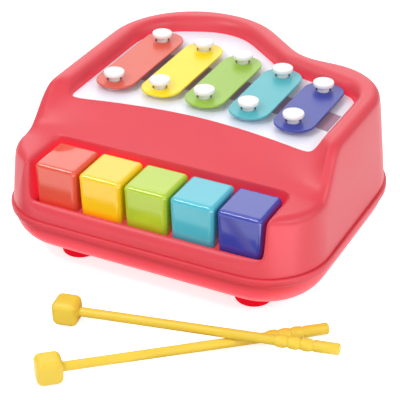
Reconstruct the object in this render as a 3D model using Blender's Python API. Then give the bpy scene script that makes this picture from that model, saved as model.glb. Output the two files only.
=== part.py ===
"""Xylophone piano toy with five keys, five metal bars and two mallets.

Lengths are metres, angles radians unless a name says degrees.
The working frame has x = 0 at the middle key, y = 0 at the key fronts, z = 0 on the floor.
At the end everything is moved so that the set's box stands centred on the origin.
"""
import bpy
import bmesh
from math import cos, pi, radians, sin, sqrt, tan
from mathutils import Matrix, Vector

# General fits
GAP = 0.0003
WELD = 0.00001
HALF = 0.5
QUARTER_TURN = pi / 2
FULL_TURN = 2 * pi
DIAGONAL = sqrt(HALF)
FAR = 0.4000
ROUND_SHARE = 0.30
KEY_COUNT = 5

# Heights of the housing, each set down from the one above it
RIM_Z = 0.1070
RIM_RISE = 0.0100
DECK_STEP = 0.0172
LEDGE_DROP = 0.0283
LEDGE_HEIGHT = 0.0123
PLATE_TOP_Z = RIM_Z - RIM_RISE
CHEEK_Z = PLATE_TOP_Z - DECK_STEP
LEDGE_Z = CHEEK_Z - LEDGE_DROP
SHELL_FOOT_Z = LEDGE_Z - LEDGE_HEIGHT

# Housing outline, at the foot of the top shell's wall
HALF_WIDTH = 0.1138
FRONT_Y = -0.0079
RIGHT_BACK_Y = 0.1803
LEFT_BACK_Y = 0.2231
DIP_X_SHARE = 0.329
CREST_X_SHARE = -0.122
DIP_X = HALF_WIDTH * DIP_X_SHARE
CREST_X = HALF_WIDTH * CREST_X_SHARE
FRONT_LEFT_RADIUS = 0.0395
FRONT_RIGHT_RADIUS = 0.0445
RIGHT_BACK_RADIUS = 0.0530
DIP_RADIUS = 0.0320
CREST_RADIUS = 0.0684
LEFT_BACK_RADIUS = 0.0728

# Key pocket in the top shell
CHEEK_WIDTH = 0.0288
POCKET_HALF = HALF_WIDTH - CHEEK_WIDTH
KEY_DEPTH = 0.0340
KEY_BACK_CLEAR = 0.0025
POCKET_FRONT_Y = -0.0015
POCKET_BACK_Y = KEY_DEPTH + KEY_BACK_CLEAR
POCKET_ROUND = 0.0040
POCKET_BACK_ROUND = 0.0015
POCKET_CORNER = 0.0030
POCKET_FOOT_DROP = 0.0050
POCKET_PIT_DROP = 0.0075
POCKET_BACK_DROP = 0.0108
POCKET_FOOT_Z = LEDGE_Z - POCKET_FOOT_DROP
POCKET_PIT_Z = LEDGE_Z - POCKET_PIT_DROP
POCKET_BACK_FOOT_Z = CHEEK_Z - POCKET_BACK_DROP
NOTCH_FOOT_ROUND = 0.0030
NOTCH_EDGE = 0.0035
LEDGE_ROUND = 0.0070
LEDGE_COLUMNS = 6
NOTCH_SIDE_COLUMNS = 5
NOTCH_FOOT_OUT_SHARES = (0.556, 0.462, 0.375, 0.288, 0.201, 0.052, -0.156)
POCKET_Y_SHARES = (0.22, 0.36, 0.50, 0.64, 0.78)
POCKET_LEVEL_SHARES = (0.5, 1.0)

# Keys and levers
KEY_SIDE_CLEAR = 0.00225
KEY_SPACE = 0.0020
KEY_PITCH = ((POCKET_HALF - KEY_SIDE_CLEAR) / HALF + KEY_SPACE) / KEY_COUNT
KEY_WIDTH = KEY_PITCH - KEY_SPACE
KEY_SINK = 0.0018
KEY_SKIRT = 0.0045
KEY_TOP_Z = CHEEK_Z - KEY_SINK
KEY_FOOT_Z = LEDGE_Z - KEY_SKIRT
KEY_TAPER = 0.0008
KEY_ROUND = 0.0034
KEY_WALL = 0.0020
SPRING_SETBACK = 0.0075
PIVOT_SETBACK = 0.0180
PIVOT_DROP = 0.0180
SPRING_Y = POCKET_BACK_Y + SPRING_SETBACK
PIVOT_Y = SPRING_Y + PIVOT_SETBACK
PIVOT_Z = KEY_TOP_Z - PIVOT_DROP
ROD_RADIUS = 0.0020
ROD_OVERHANG = 0.0030
ROD_END_X = POCKET_HALF + ROD_OVERHANG
LEVER_WIDTH = 0.0100
LEVER_HALF_HEIGHT = 0.0040
LEVER_FOOT_Z = PIVOT_Z - LEVER_HALF_HEIGHT
LEVER_TOP_Z = PIVOT_Z + LEVER_HALF_HEIGHT
LEVER_TAIL = 0.0060
PIVOT_BOSS_RADIUS = 0.0052
PRESS_DEGREES = 5.0
LEVER_REACH_Y = 0.0100

# Top shell
SHELL_WALL = 0.0024
DRAFT = radians(5.3)
EDGE_ROUND = 0.0060
CHEEK_BLEND = 0.0080
RIM_BLEND_SHARE = 0.331
RIM_BLEND = (RIM_Z - CHEEK_Z) * RIM_BLEND_SHARE
ROOF_WALL = 0.0032
SLOPE_STEP = 0.0002
SLOPE_PROUD = 0.0010
SHELF_DEPTH = 0.0030
SLOPE_RUN = 0.0335
SLOPE_BOW = 0.0125
SLOPE_BOW_OUT = 0.0030
SLOPE_BOW_POWER = 1.8
SLOPE_END_WIDTH = 0.0220
SLOPE_END_PULL = 0.0070
SHARED_STEP = 0.0065
RISE_STEPS = (0.0045, 0.0095, 0.0145, 0.0195, 0.0250, 0.0320, 0.0590)
LEFT_SIDE_STEP = 0.0820
CHEEK_STEP = 0.0023
SLOPE_FOOT_Y = POCKET_BACK_Y + SHELF_DEPTH
SLOPE_FOOT_Z = CHEEK_Z + SLOPE_STEP
SLOPE_TOP_Z = PLATE_TOP_Z + SLOPE_PROUD
SLOPE_MID_Y = SLOPE_FOOT_Y + SLOPE_RUN
SLOPE_BOW_X = POCKET_HALF + SLOPE_BOW_OUT
SLOPE_END_X = POCKET_HALF
SHARED_Y = POCKET_BACK_Y + SHARED_STEP
CHEEK_ARC_START_SHARE = 0.53
UPPER_ROW_SHARES = (0.12, 0.35, 0.68)
SHARED_REACH_SHARE = 1.10

# Deck opening in the top shell
RIM_LEFT_WIDTH = 0.0230
RIM_RIGHT_WIDTH = 0.0233
RIM_RIGHT_BACK_DEPTH = 0.0368
RIM_LEFT_BACK_DEPTH = 0.0434
DECK_DIP_INSET = (0.0134, 0.0185)
DECK_CREST_INSET = (0.0171, 0.0173)
DECK_LEFT_X = RIM_LEFT_WIDTH - HALF_WIDTH
DECK_RIGHT_X = HALF_WIDTH - RIM_RIGHT_WIDTH
DECK_FRONT_Y = SLOPE_MID_Y - SLOPE_BOW
DECK_CORNER = 0.0050
DECK_RIGHT_BACK = (DECK_RIGHT_X, RIGHT_BACK_Y - RIM_RIGHT_BACK_DEPTH)
DECK_RIGHT_BACK_RADIUS = 0.0180
DECK_DIP = (DIP_X - DECK_DIP_INSET[0], RIGHT_BACK_Y - DECK_DIP_INSET[1])
DECK_DIP_RADIUS = 0.0250
DECK_CREST = (CREST_X - DECK_CREST_INSET[0], LEFT_BACK_Y - DECK_CREST_INSET[1])
DECK_CREST_RADIUS = 0.0420
DECK_LEFT_BACK = (DECK_LEFT_X, LEFT_BACK_Y - RIM_LEFT_BACK_DEPTH)
DECK_LEFT_BACK_RADIUS = 0.0400
DECK_ROUND = 0.0065
DECK_FRONT_ROUND = 0.0008
DECK_LEDGE = 0.0040
DECK_LEDGE_THICK = 0.0018
DECK_PIT_DROP = 0.0075
DECK_PIT_Z = PLATE_TOP_Z - DECK_PIT_DROP
DECK_SIDE_STEPS = (0.0085, 0.0125, 0.0165, 0.0215, 0.0275, 0.0445)
DECK_LEFT_SIDE_STEPS = (0.0655, 0.0415, 0.0275, 0.0215, 0.0165, 0.0125, 0.0085)
SHARED_COLUMNS = 9

# Inner space of the top shell
CAVITY_ROUND = 0.0040
CAVITY_FOOT_DROP = 0.0060
CAVITY_X_SHARES = (-1.05, -0.91, -0.83, -0.70, -0.43, 0, 0.43, 0.70, 0.83, 0.91, 1.05)
CAVITY_STEPS = (0.0015, 0.0065, 0.0115, 0.0175, 0.0235, 0.0295, 0.0355, 0.0435)

# Deck plate
PLATE_THICK = 0.0030
PLATE_GAP = 0.00035
PLATE_BOSS_RADIUS = 0.0075
PLATE_BOSS_RISE = 0.0029
PLATE_BOSS_TOP_Z = PLATE_TOP_Z + PLATE_BOSS_RISE
BAND_RECESS = 0.0015
FELT_SINK = 0.0001
BAND_END_OUT = 0.0080
BAND_BEND_INSET = 0.0125
BAND_RIGHT_INSET = 0.0030
BAND_BEND_STEP = 0.0240
BAND_LEFT_X = -KEY_PITCH * (KEY_COUNT - 1) * HALF - BAND_END_OUT
BAND_BACK_LEFT_X = BAND_LEFT_X + BAND_BEND_STEP
BAND_MIDDLE_X = 0.0170
BAND_BEND_X = DECK_RIGHT_X - BAND_BEND_INSET
BAND_RIGHT_X = DECK_RIGHT_X - BAND_RIGHT_INSET
BAND_FRONT = ((BAND_LEFT_X, 0.1050), (BAND_MIDDLE_X, 0.1060), (BAND_BEND_X, 0.0945), (BAND_RIGHT_X, 0.0925))
BAND_BACK = ((BAND_RIGHT_X, 0.1165), (BAND_BEND_X, 0.1190), (BAND_MIDDLE_X, 0.1335),
             (BAND_BACK_LEFT_X, 0.1500), (BAND_LEFT_X, 0.1500))

# Base tray
TRAY_TOP_Z = SHELL_FOOT_Z - GAP
TRAY_WALL = 0.0026
TRAY_LIP_PROUD = 0.0018
TRAY_LIP_DEPTH = 0.0054
TRAY_CREASE_DROP = 0.0008
TRAY_LIP_FOOT_Z = TRAY_TOP_Z - TRAY_LIP_DEPTH
TRAY_CREASE_Z = TRAY_LIP_FOOT_Z - TRAY_CREASE_DROP
TRAY_CREASE_IN = 0.0006
TRAY_BOTTOM_Z = 0.0075
TRAY_BOWL_REACH = 0.0340
TRAY_BOWL_POWER = 2.03
TRAY_BOWL_STEPS = 6

# Metal bars
BAR_SPREAD = 0.0004
BAR_PITCH = KEY_PITCH + BAR_SPREAD
BAR_SHIFT = -0.0017
BAR_SPACE = 0.0053
BAR_WIDTH = BAR_PITCH - BAR_SPACE
BAR_CLEAR = 0.0005
BAR_FOOT_Z = PLATE_BOSS_TOP_Z + BAR_CLEAR
BAR_THICK = 0.0018
BAR_EDGE = 0.0004
BAR_END_FLAT = 0.0011
BAR_CORNER = BAR_WIDTH * HALF - BAR_END_FLAT
BAR_HOLE_RADIUS = 0.00525
BAR_FRONT_YS = (0.0775, 0.0805, 0.0795, 0.0775, 0.0748)
BAR_BACK_YS = (0.1737, 0.1697, 0.1624, 0.1556, 0.1490)

# Bar posts, a little to the left of each bar's middle
POST_SHIFTS = {"front": -0.0013, "back": -0.0007}
POST_YS = {
    "front": (0.0895, 0.0929, 0.0930, 0.0908, 0.0879),
    "back": (0.1596, 0.1592, 0.1529, 0.1458, 0.1379),
}
CAP_RADIUS = 0.0072
CAP_RISE = 0.0033
CAP_EDGE = 0.0030
CAP_DOME = 0.0010
CAP_ROUND = 0.0007
STEM_RADIUS = 0.00405
PIN_RADIUS = 0.0027
PIN_DEPTH = 0.0055
PIN_FOOT_Z = PLATE_TOP_Z - PIN_DEPTH

# Hammers, one under the middle of each bar
HAMMER_YS = tuple((front + back) * HALF for front, back in zip(BAR_FRONT_YS, BAR_BACK_YS))
HAMMER_REST_LIFT = BAR_FOOT_Z - PIVOT_Z
HAMMER_HALF_X = 0.0030
HAMMER_HALF_Y = 0.0040
HAMMER_STEM_HALF = 0.0022
HAMMER_HEAD = 0.0080
STRIKE_GAP = 0.0005
HAMMER_CLEAR = 0.0013
PEG_RADIUS = 0.0015
PEG_DEPTH = 0.0060

# Pivot ribs, spring posts and rest rail of the tray
RIB_XS = tuple((number - KEY_COUNT * HALF) * KEY_PITCH for number in range(KEY_COUNT + 1))
RIB_HALF_THICK = 0.0015
RIB_HALF_DEPTH = 0.0080
RIB_RISE = 0.0065
RIB_TOP_Z = PIVOT_Z + RIB_RISE
SPRING_POST_RADIUS = 0.0055
SPRING_SEAT_DROP = 0.0032
SPRING_SEAT_Z = SHELL_FOOT_Z - SPRING_SEAT_DROP
SPRING_RADIUS = 0.0034
SPRING_WIRE = 0.0004
SPRING_TURNS = 5
STRIP_THICK = 0.0040
RAIL_SETBACK = 0.0340
RAIL_INSET = 0.0070
RAIL_Y = PIVOT_Y + RAIL_SETBACK
RAIL_HALF_DEPTH = 0.0022
RAIL_HALF_LENGTH = POCKET_HALF - RAIL_INSET
RAIL_TOP_Z = LEVER_FOOT_Z - STRIP_THICK
STRIP_HALF_DEPTH = 0.0030

# Screws from below
SCREW_SIDE_INSET = 0.0153
SCREW_LEFT_INSET = 0.0163
SCREW_SIDE_X = HALF_WIDTH - SCREW_SIDE_INSET
SCREW_LEFT_X = SCREW_LEFT_INSET - HALF_WIDTH
SCREW_BACK_INSETS = (0.0167, 0.0377, 0.0287)
SCREW_BACK_X_SHARES = (-0.391, 0.070, 0.748)
SCREW_FRONT_YS = (0.0200, 0.0240, 0.1100)
SCREW_SPOTS = (
    (-SCREW_SIDE_X, SCREW_FRONT_YS[0]), (SCREW_SIDE_X, SCREW_FRONT_YS[1]), (SCREW_LEFT_X, SCREW_FRONT_YS[2]),
    (HALF_WIDTH * SCREW_BACK_X_SHARES[0], LEFT_BACK_Y - SCREW_BACK_INSETS[0]),
    (HALF_WIDTH * SCREW_BACK_X_SHARES[1], LEFT_BACK_Y - SCREW_BACK_INSETS[1]),
    (HALF_WIDTH * SCREW_BACK_X_SHARES[2], RIGHT_BACK_Y - SCREW_BACK_INSETS[2]),
)
TUBE_RADIUS = 0.0062
TUBE_RISE = 0.0008
TUBE_TOP_Z = SHELL_FOOT_Z + TUBE_RISE
TUBE_BORE_RADIUS = 0.0022
HEAD_RECESS_RADIUS = 0.0042
TUBE_SEAT_DROP = 0.0160
HEAD_SEAT_Z = TUBE_TOP_Z - TUBE_SEAT_DROP
BOSS_RADIUS = 0.0042
BOSS_BORE_RADIUS = 0.0019
SCREW_RADIUS = 0.0016
SCREW_HEAD_RADIUS = 0.0034
SCREW_HEAD_THICK = 0.0024
SCREW_BITE = 0.0140
SCREW_TIP_Z = TUBE_TOP_Z + SCREW_BITE
SCREW_SLOT_HALF = 0.0005
SCREW_SLOT_DEPTH = 0.0010
BORE_DEPTH = 0.0020

# Feet
FOOT_NAMES = ("front_left", "front_right", "back_left", "back_right")
FOOT_SIDE_INSET = 0.0478
FOOT_FRONT_INSET = 0.0349
FOOT_LEFT_BACK_INSET = 0.0581
FOOT_RIGHT_BACK_INSET = 0.0403
FOOT_X = HALF_WIDTH - FOOT_SIDE_INSET
FOOT_FRONT_Y = FRONT_Y + FOOT_FRONT_INSET
FOOT_SPOTS = ((-FOOT_X, FOOT_FRONT_Y), (FOOT_X, FOOT_FRONT_Y),
              (-FOOT_X, LEFT_BACK_Y - FOOT_LEFT_BACK_INSET), (FOOT_X, RIGHT_BACK_Y - FOOT_RIGHT_BACK_INSET))
FOOT_RADIUS = 0.0128
FOOT_ROUND = 0.0016
FOOT_STUD_RADIUS = 0.0030
FOOT_STUD_RISE = 0.0050

# Mallets: head centre, stick tail, both on the axis
HEAD_HALF = 0.0084
HEAD_ROUND = 0.0030
STICK_HEAD_RADIUS = 0.0027
STICK_TAIL_RADIUS = 0.0038
HEAD_Z = HEAD_HALF + GAP
UPPER_HEAD = (-0.0303, -0.0507, HEAD_Z)
UPPER_TAIL = (0.1456, -0.0197, 0.0144)
LOWER_HEAD = (-0.0088, -0.1087, HEAD_Z)
LOWER_TAIL = (0.1255, 0.0109, 0.0039)
STICK_BITE = 0.0060
HANDLE_END = 0.0170
HANDLE_RING = 0.0080
HANDLE_RINGS = 3
HANDLE_BULGE = 0.0004
HANDLE_NECK = 0.0006
QUARTER_SHARE = 0.25

# Mesh counts
ROUND_STEPS = 3
FRONT_ARC_STEPS = 5
CHEEK_ARC_STEPS = 5
BACK_DIP_STEPS = 3
BACK_CREST_STEPS = 3
LEFT_BACK_STEPS = 9
DECK_LEFT_BACK_STEPS = 7
KEY_ROUND_STEPS = 3
HAMMER_ROUND_STEPS = 2
HEAD_ROUND_STEPS = 3
BAR_CORNER_STEPS = 5
SPRING_RING = 8
SPRING_SIDES = 4
CORNER_STEPS = 6
POST_SEGMENTS = 14
SCREW_SEGMENTS = 12
FOOT_SEGMENTS = 20
STICK_SEGMENTS = 12


# Shading: edges sharper than this stay hard
SHARP_DEGREES = 40.0
FINE_SHARP_DEGREES = 30.0
SPRING_SHARP_DEGREES = 80.0

# Colours, linear RGB
SHELL_RED = (0.80, 0.09, 0.12)
TRAY_RED = (0.76, 0.07, 0.10)
FOOT_RED = (0.70, 0.02, 0.05)
PLATE_WHITE = (0.90, 0.91, 0.95)
POST_WHITE = (0.90, 0.90, 0.90)
STRIP_MAUVE = (0.38, 0.20, 0.30)
REST_BLACK = (0.06, 0.06, 0.06)
ROD_GREY = (0.55, 0.56, 0.58)
STEEL_GREY = (0.60, 0.60, 0.62)
HAMMER_GREY = (0.30, 0.30, 0.30)
MALLET_YELLOW = (0.92, 0.60, 0.06)
NOTE_COLOURS = (
    (0.86, 0.28, 0.20),
    (1.00, 0.78, 0.05),
    (0.50, 0.68, 0.05),
    (0.16, 0.58, 0.66),
    (0.11, 0.12, 0.46),
)


# Small helpers
def flat(point, z):
    """A plan point lifted to height z."""
    return Vector((point[0], point[1], z))


def smooth_low(first, second, blend):
    """The lower of two heights with a rounded change-over."""
    mix = min(max(HALF + HALF * (second - first) / blend, 0), 1)
    return second * (1 - mix) + first * mix - blend * mix * (1 - mix)


def smooth_high(first, second, blend):
    """The higher of two heights with a rounded change-over."""
    return -smooth_low(-first, -second, blend)


def deck_front_y(x):
    """Back end of the front slope, which bows towards the back in the middle and is steeper at its ends."""
    pull = SLOPE_END_PULL * (max(abs(x) - SLOPE_END_X, 0) / SLOPE_END_WIDTH) ** 2
    return SLOPE_MID_Y - SLOPE_BOW * (abs(x) / SLOPE_BOW_X) ** SLOPE_BOW_POWER - pull


def top_height(x, y):
    """Height of the shell's top skin: cheeks and shelf, front slope, rim."""
    run = deck_front_y(x) - SLOPE_FOOT_Y
    slope = SLOPE_FOOT_Z + (SLOPE_TOP_Z - SLOPE_FOOT_Z) * (y - SLOPE_FOOT_Y) / run
    return smooth_low(RIM_Z, smooth_high(CHEEK_Z, slope, CHEEK_BLEND), RIM_BLEND)


def lean(z):
    """How far the shell's wall leans inward at height z."""
    return (z - SHELL_FOOT_Z) * tan(DRAFT)


def fillet(before, corner, after, radius, steps):
    """Points with inward normals round one plan corner of an anticlockwise loop."""
    before, corner, after = Vector(before), Vector(corner), Vector(after)
    back = (before - corner).normalized()
    ahead = (after - corner).normalized()
    half = back.angle(ahead) * HALF
    reach = radius / tan(half)
    turn = pi - half - half
    heading = -back
    side = 1 if heading.x * ahead.y - heading.y * ahead.x > 0 else -1
    normal = Vector((-heading.y, heading.x))
    centre = corner + back * reach + normal * radius * side
    result = []
    for step in range(steps + 1):
        angle = side * turn * step / steps
        turned = Matrix.Rotation(angle, 2) @ normal
        result.append((centre - turned * radius * side, turned))
    return result


def fillets(points, radii, steps):
    """Fillets round the inner points of a chain. Where a wall is too short, its fillets share it."""
    points = [Vector(point) for point in points]
    reaches = [0]
    for before, corner, after, radius in zip(points, points[1:], points[2:], radii):
        reaches.append(radius / tan((before - corner).angle(after - corner) * HALF))
    reaches.append(0)
    result = []
    for index, (radius, count) in enumerate(zip(radii, steps), 1):
        fit = 1
        for other in (index - 1, index + 1):
            wall = (points[other] - points[index]).length
            fit = min(fit, wall / (reaches[index] + reaches[other]))
        result.append(fillet(points[index - 1], points[index], points[index + 1], radius * fit, count))
    return result


def between(first, last, count):
    """Evenly spaced entries strictly between two (point, normal) entries."""
    return [(first[0].lerp(last[0], step / (count + 1)), first[1].copy()) for step in range(1, count + 1)]


class Skin:
    """Collects faces by their corner points and welds shared points."""

    def __init__(self):
        self.mesh = bmesh.new()
        self.known = {}

    def vert(self, point):
        key = tuple(round(value / WELD) for value in point)
        if key not in self.known:
            self.known[key] = self.mesh.verts.new(point)
        return self.known[key]

    def face(self, *points):
        corners = []
        for point in points:
            corner = self.vert(point)
            if corner not in corners:
                corners.append(corner)
        if len(corners) > 2:
            try:
                self.mesh.faces.new(corners)
            except ValueError:
                pass

    def patch(self, rows, closed=False):
        for low, high in zip(rows, rows[1:]):
            count = len(low)
            for index in range(count if closed else count - 1):
                after = (index + 1) % count
                self.face(low[index], low[after], high[after], high[index])


def material(name, colour, roughness, metallic=0.0):
    """A Principled material."""
    made = bpy.data.materials.new(name)
    made.use_nodes = True
    shader = made.node_tree.nodes["Principled BSDF"]
    shader.inputs["Base Color"].default_value = (*colour, 1.0)
    shader.inputs["Roughness"].default_value = roughness
    shader.inputs["Metallic"].default_value = metallic
    made.diffuse_color = (*colour, 1.0)
    return made


def place(name, mesh, look=None, origin=(0, 0, 0)):
    """Turns a bmesh into an object with its origin at the given point."""
    bmesh.ops.remove_doubles(mesh, verts=mesh.verts, dist=WELD)
    bmesh.ops.recalc_face_normals(mesh, faces=mesh.faces)
    bmesh.ops.translate(mesh, verts=mesh.verts, vec=-Vector(origin))
    data = bpy.data.meshes.new(name)
    mesh.to_mesh(data)
    mesh.free()
    made = bpy.data.objects.new(name, data)
    made.location = origin
    bpy.context.scene.collection.objects.link(made)
    if look:
        data.materials.append(look)
    return made


def settle(target):
    """Replaces an object's mesh by the result of its modifiers."""
    bpy.context.view_layer.update()
    graph = bpy.context.evaluated_depsgraph_get()
    result = bpy.data.meshes.new_from_object(target.evaluated_get(graph))
    mesh = bmesh.new()
    mesh.from_mesh(result)
    bmesh.ops.remove_doubles(mesh, verts=mesh.verts, dist=WELD)
    bmesh.ops.dissolve_degenerate(mesh, edges=mesh.edges, dist=WELD)
    mesh.to_mesh(result)
    mesh.free()
    looks = list(target.data.materials)
    target.modifiers.clear()
    target.data = result
    result.materials.clear()
    for look in looks:
        result.materials.append(look)


def combine(target, tool, operation):
    """Joins or cuts a mesh with an exact Boolean and removes the tool."""
    step = target.modifiers.new(operation, "BOOLEAN")
    step.solver = "EXACT"
    step.operation = operation
    step.object = tool
    settle(target)
    bpy.data.objects.remove(tool)


def add_box(mesh, low, high):
    """Adds one closed box to a bmesh."""
    low, high = Vector(low), Vector(high)
    middle = (low + high) * HALF
    size = high - low
    move = Matrix.Translation(middle) @ Matrix.Diagonal((size.x, size.y, size.z, 1))
    bmesh.ops.create_cube(mesh, size=1, matrix=move)


def add_turned(mesh, profile, segments, frame=None):
    """Adds a closed body turned from (radius, height) pairs, listed bottom to top."""
    frame = frame or Matrix.Identity(4)
    rings = []
    for radius, height in profile:
        ring = []
        for step in range(segments):
            angle = FULL_TURN * step / segments
            spot = Vector((radius * cos(angle), radius * sin(angle), height))
            ring.append(mesh.verts.new(frame @ spot))
        rings.append(ring)
    for low, high in zip(rings, rings[1:]):
        for step in range(segments):
            after = (step + 1) % segments
            mesh.faces.new((low[step], low[after], high[after], high[step]))
    mesh.faces.new(list(reversed(rings[0])))
    mesh.faces.new(rings[-1])


def add_rod(mesh, x, y, low, high, radius, segments):
    """Adds an upright cylinder to a bmesh."""
    add_turned(mesh, ((radius, low), (radius, high)), segments, Matrix.Translation((x, y, 0)))


def shade(made, degrees=SHARP_DEGREES):
    """Smooth shading with sharp edges kept."""
    made.data.shade_smooth()
    made.data.set_sharp_from_angle(angle=radians(degrees))


# Top shell
def front_wall(x, z):
    """Point of the shell's front wall at x and height z."""
    shift = lean(z)
    y = FRONT_Y + shift
    for side, radius in ((-1, FRONT_LEFT_RADIUS), (1, FRONT_RIGHT_RADIUS)):
        beyond = side * x - (HALF_WIDTH - radius)
        if beyond > 0:
            y = FRONT_Y + radius - sqrt((radius - shift) ** 2 - beyond ** 2)
    return Vector((x, y, z))


def plain_column(entry, height=None):
    """Wall column of the sides and back: foot, wall top, sharp corner, crown."""
    point, normal = entry
    crown_plan = point + normal * (lean(RIM_Z) + EDGE_ROUND)
    top = height or top_height(crown_plan.x, crown_plan.y)
    wall_z = top - EDGE_ROUND
    return {
        "foot": flat(point, SHELL_FOOT_Z),
        "wall": flat(point + normal * lean(wall_z), wall_z),
        "corner": flat(point + normal * lean(top), top),
        "crown": flat(point + normal * (lean(top) + EDGE_ROUND), top),
        "normal": normal,
    }


def column_rings(column):
    """Points of a wall column from the foot over the rounded edge to the crown."""
    points = [column["foot"], column["foot"].lerp(column["wall"], HALF), column["wall"]]
    if "middle" in column:
        points[1] = column["middle"]
    for step in range(1, ROUND_STEPS):
        angle = QUARTER_TURN * step / ROUND_STEPS
        up = (column["wall"] - column["corner"]) * (1 - sin(angle))
        inward = (column["crown"] - column["corner"]) * (1 - cos(angle))
        points.append(column["corner"] + up + inward)
    points.append(column["crown"])
    return points


def notch_columns(side):
    """Seven columns where the cheek steps down to the ledge, outside to inside."""
    side_top = CHEEK_Z - POCKET_ROUND
    side_foot = LEDGE_Z + NOTCH_FOOT_ROUND
    rise = side_top - side_foot
    cheek_mid = POCKET_ROUND * ROUND_SHARE
    foot_mid = NOTCH_FOOT_ROUND * ROUND_SHARE
    steps = (
        (POCKET_ROUND, CHEEK_Z, 0, 1, NOTCH_EDGE, EDGE_ROUND),
        (cheek_mid, CHEEK_Z - cheek_mid, -DIAGONAL, DIAGONAL, NOTCH_EDGE, NOTCH_EDGE),
        (0, side_top, -1, 0, NOTCH_EDGE, NOTCH_EDGE),
        (0, side_foot + rise * HALF, -1, 0, NOTCH_EDGE, NOTCH_EDGE),
        (0, side_foot, -1, 0, NOTCH_EDGE, None),
        (-foot_mid, LEDGE_Z + foot_mid, -DIAGONAL, DIAGONAL, NOTCH_EDGE, None),
        (-NOTCH_FOOT_ROUND, LEDGE_Z, 0, 1, LEDGE_ROUND, None),
    )
    columns = []
    for number, (out, z, out_way, up_way, reach, depth) in enumerate(steps):
        foot_x = side * (POCKET_HALF + CHEEK_WIDTH * NOTCH_FOOT_OUT_SHARES[number])
        top_x = side * (POCKET_HALF + out)
        wall_x = top_x - side * out_way * reach
        wall_z = z - up_way * reach
        corner = front_wall(top_x, z)
        crown_y = corner.y + depth if depth else POCKET_FRONT_Y
        middle_x = (foot_x + wall_x) * HALF
        middle_z = (SHELL_FOOT_Z + wall_z) * HALF
        columns.append({
            "foot": front_wall(foot_x, SHELL_FOOT_Z),
            "middle": front_wall(middle_x, middle_z),
            "wall": front_wall(wall_x, wall_z),
            "corner": corner,
            "crown": Vector((top_x, crown_y, z)),
        })
    return columns


def ledge_columns():
    """Columns of the low front ledge between the two notches."""
    reach = POCKET_HALF - NOTCH_FOOT_ROUND
    foot_reach = POCKET_HALF + CHEEK_WIDTH * NOTCH_FOOT_OUT_SHARES[-1]
    columns = []
    for step in range(1, LEDGE_COLUMNS + 1):
        share = 1 - 2 * step / (LEDGE_COLUMNS + 1)
        x = -reach * share
        foot_x = -foot_reach * share
        wall_z = LEDGE_Z - LEDGE_ROUND
        columns.append({
            "foot": front_wall(foot_x, SHELL_FOOT_Z),
            "middle": front_wall((foot_x + x) * HALF, (SHELL_FOOT_Z + wall_z) * HALF),
            "wall": front_wall(x, wall_z),
            "corner": front_wall(x, LEDGE_Z),
            "crown": Vector((x, POCKET_FRONT_Y, LEDGE_Z)),
        })
    return columns


def cheek_arc(side):
    """Front corner entries from beside the notch round to the side wall."""
    radius = FRONT_LEFT_RADIUS if side < 0 else FRONT_RIGHT_RADIUS
    centre = Vector((side * (HALF_WIDTH - radius), FRONT_Y + radius))
    entries = []
    for step in range(CHEEK_ARC_STEPS):
        share = step / (CHEEK_ARC_STEPS - 1)
        angle = QUARTER_TURN * (CHEEK_ARC_START_SHARE + (1 - CHEEK_ARC_START_SHARE) * share)
        outward = Vector((side * sin(angle), -cos(angle)))
        entries.append((centre + outward * radius, -outward))
    return entries


def side_entries(side, heights):
    """Entries on a straight side wall at the given y values."""
    return [(Vector((side * HALF_WIDTH, y)), Vector((-side, 0))) for y in heights]


def back_entries():
    """Entries of the shell outline from the right side's end round to the left side."""
    corners = ((HALF_WIDTH, FRONT_Y), (HALF_WIDTH, RIGHT_BACK_Y), (DIP_X, RIGHT_BACK_Y),
               (CREST_X, LEFT_BACK_Y), (-HALF_WIDTH, LEFT_BACK_Y), (-HALF_WIDTH, FRONT_Y))
    radii = (RIGHT_BACK_RADIUS, DIP_RADIUS, CREST_RADIUS, LEFT_BACK_RADIUS)
    steps = (CORNER_STEPS, BACK_DIP_STEPS, BACK_CREST_STEPS, LEFT_BACK_STEPS)
    first, second, third, fourth = fillets(corners, radii, steps)
    entries = first + between(first[-1], second[0], 1) + second
    return entries + between(second[-1], third[0], 1) + third + fourth[1:]


def deck_corner(side_x, side, share):
    """Entry on a front corner of the deck opening; share 0 is its front end."""
    centre_x = side_x - side * DECK_CORNER
    centre = Vector((centre_x, deck_front_y(centre_x) + DECK_CORNER))
    angle = QUARTER_TURN * share
    outward = Vector((side * sin(angle), -cos(angle)))
    return centre + outward * DECK_CORNER, outward, DECK_FRONT_ROUND + (DECK_ROUND - DECK_FRONT_ROUND) * share


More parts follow.
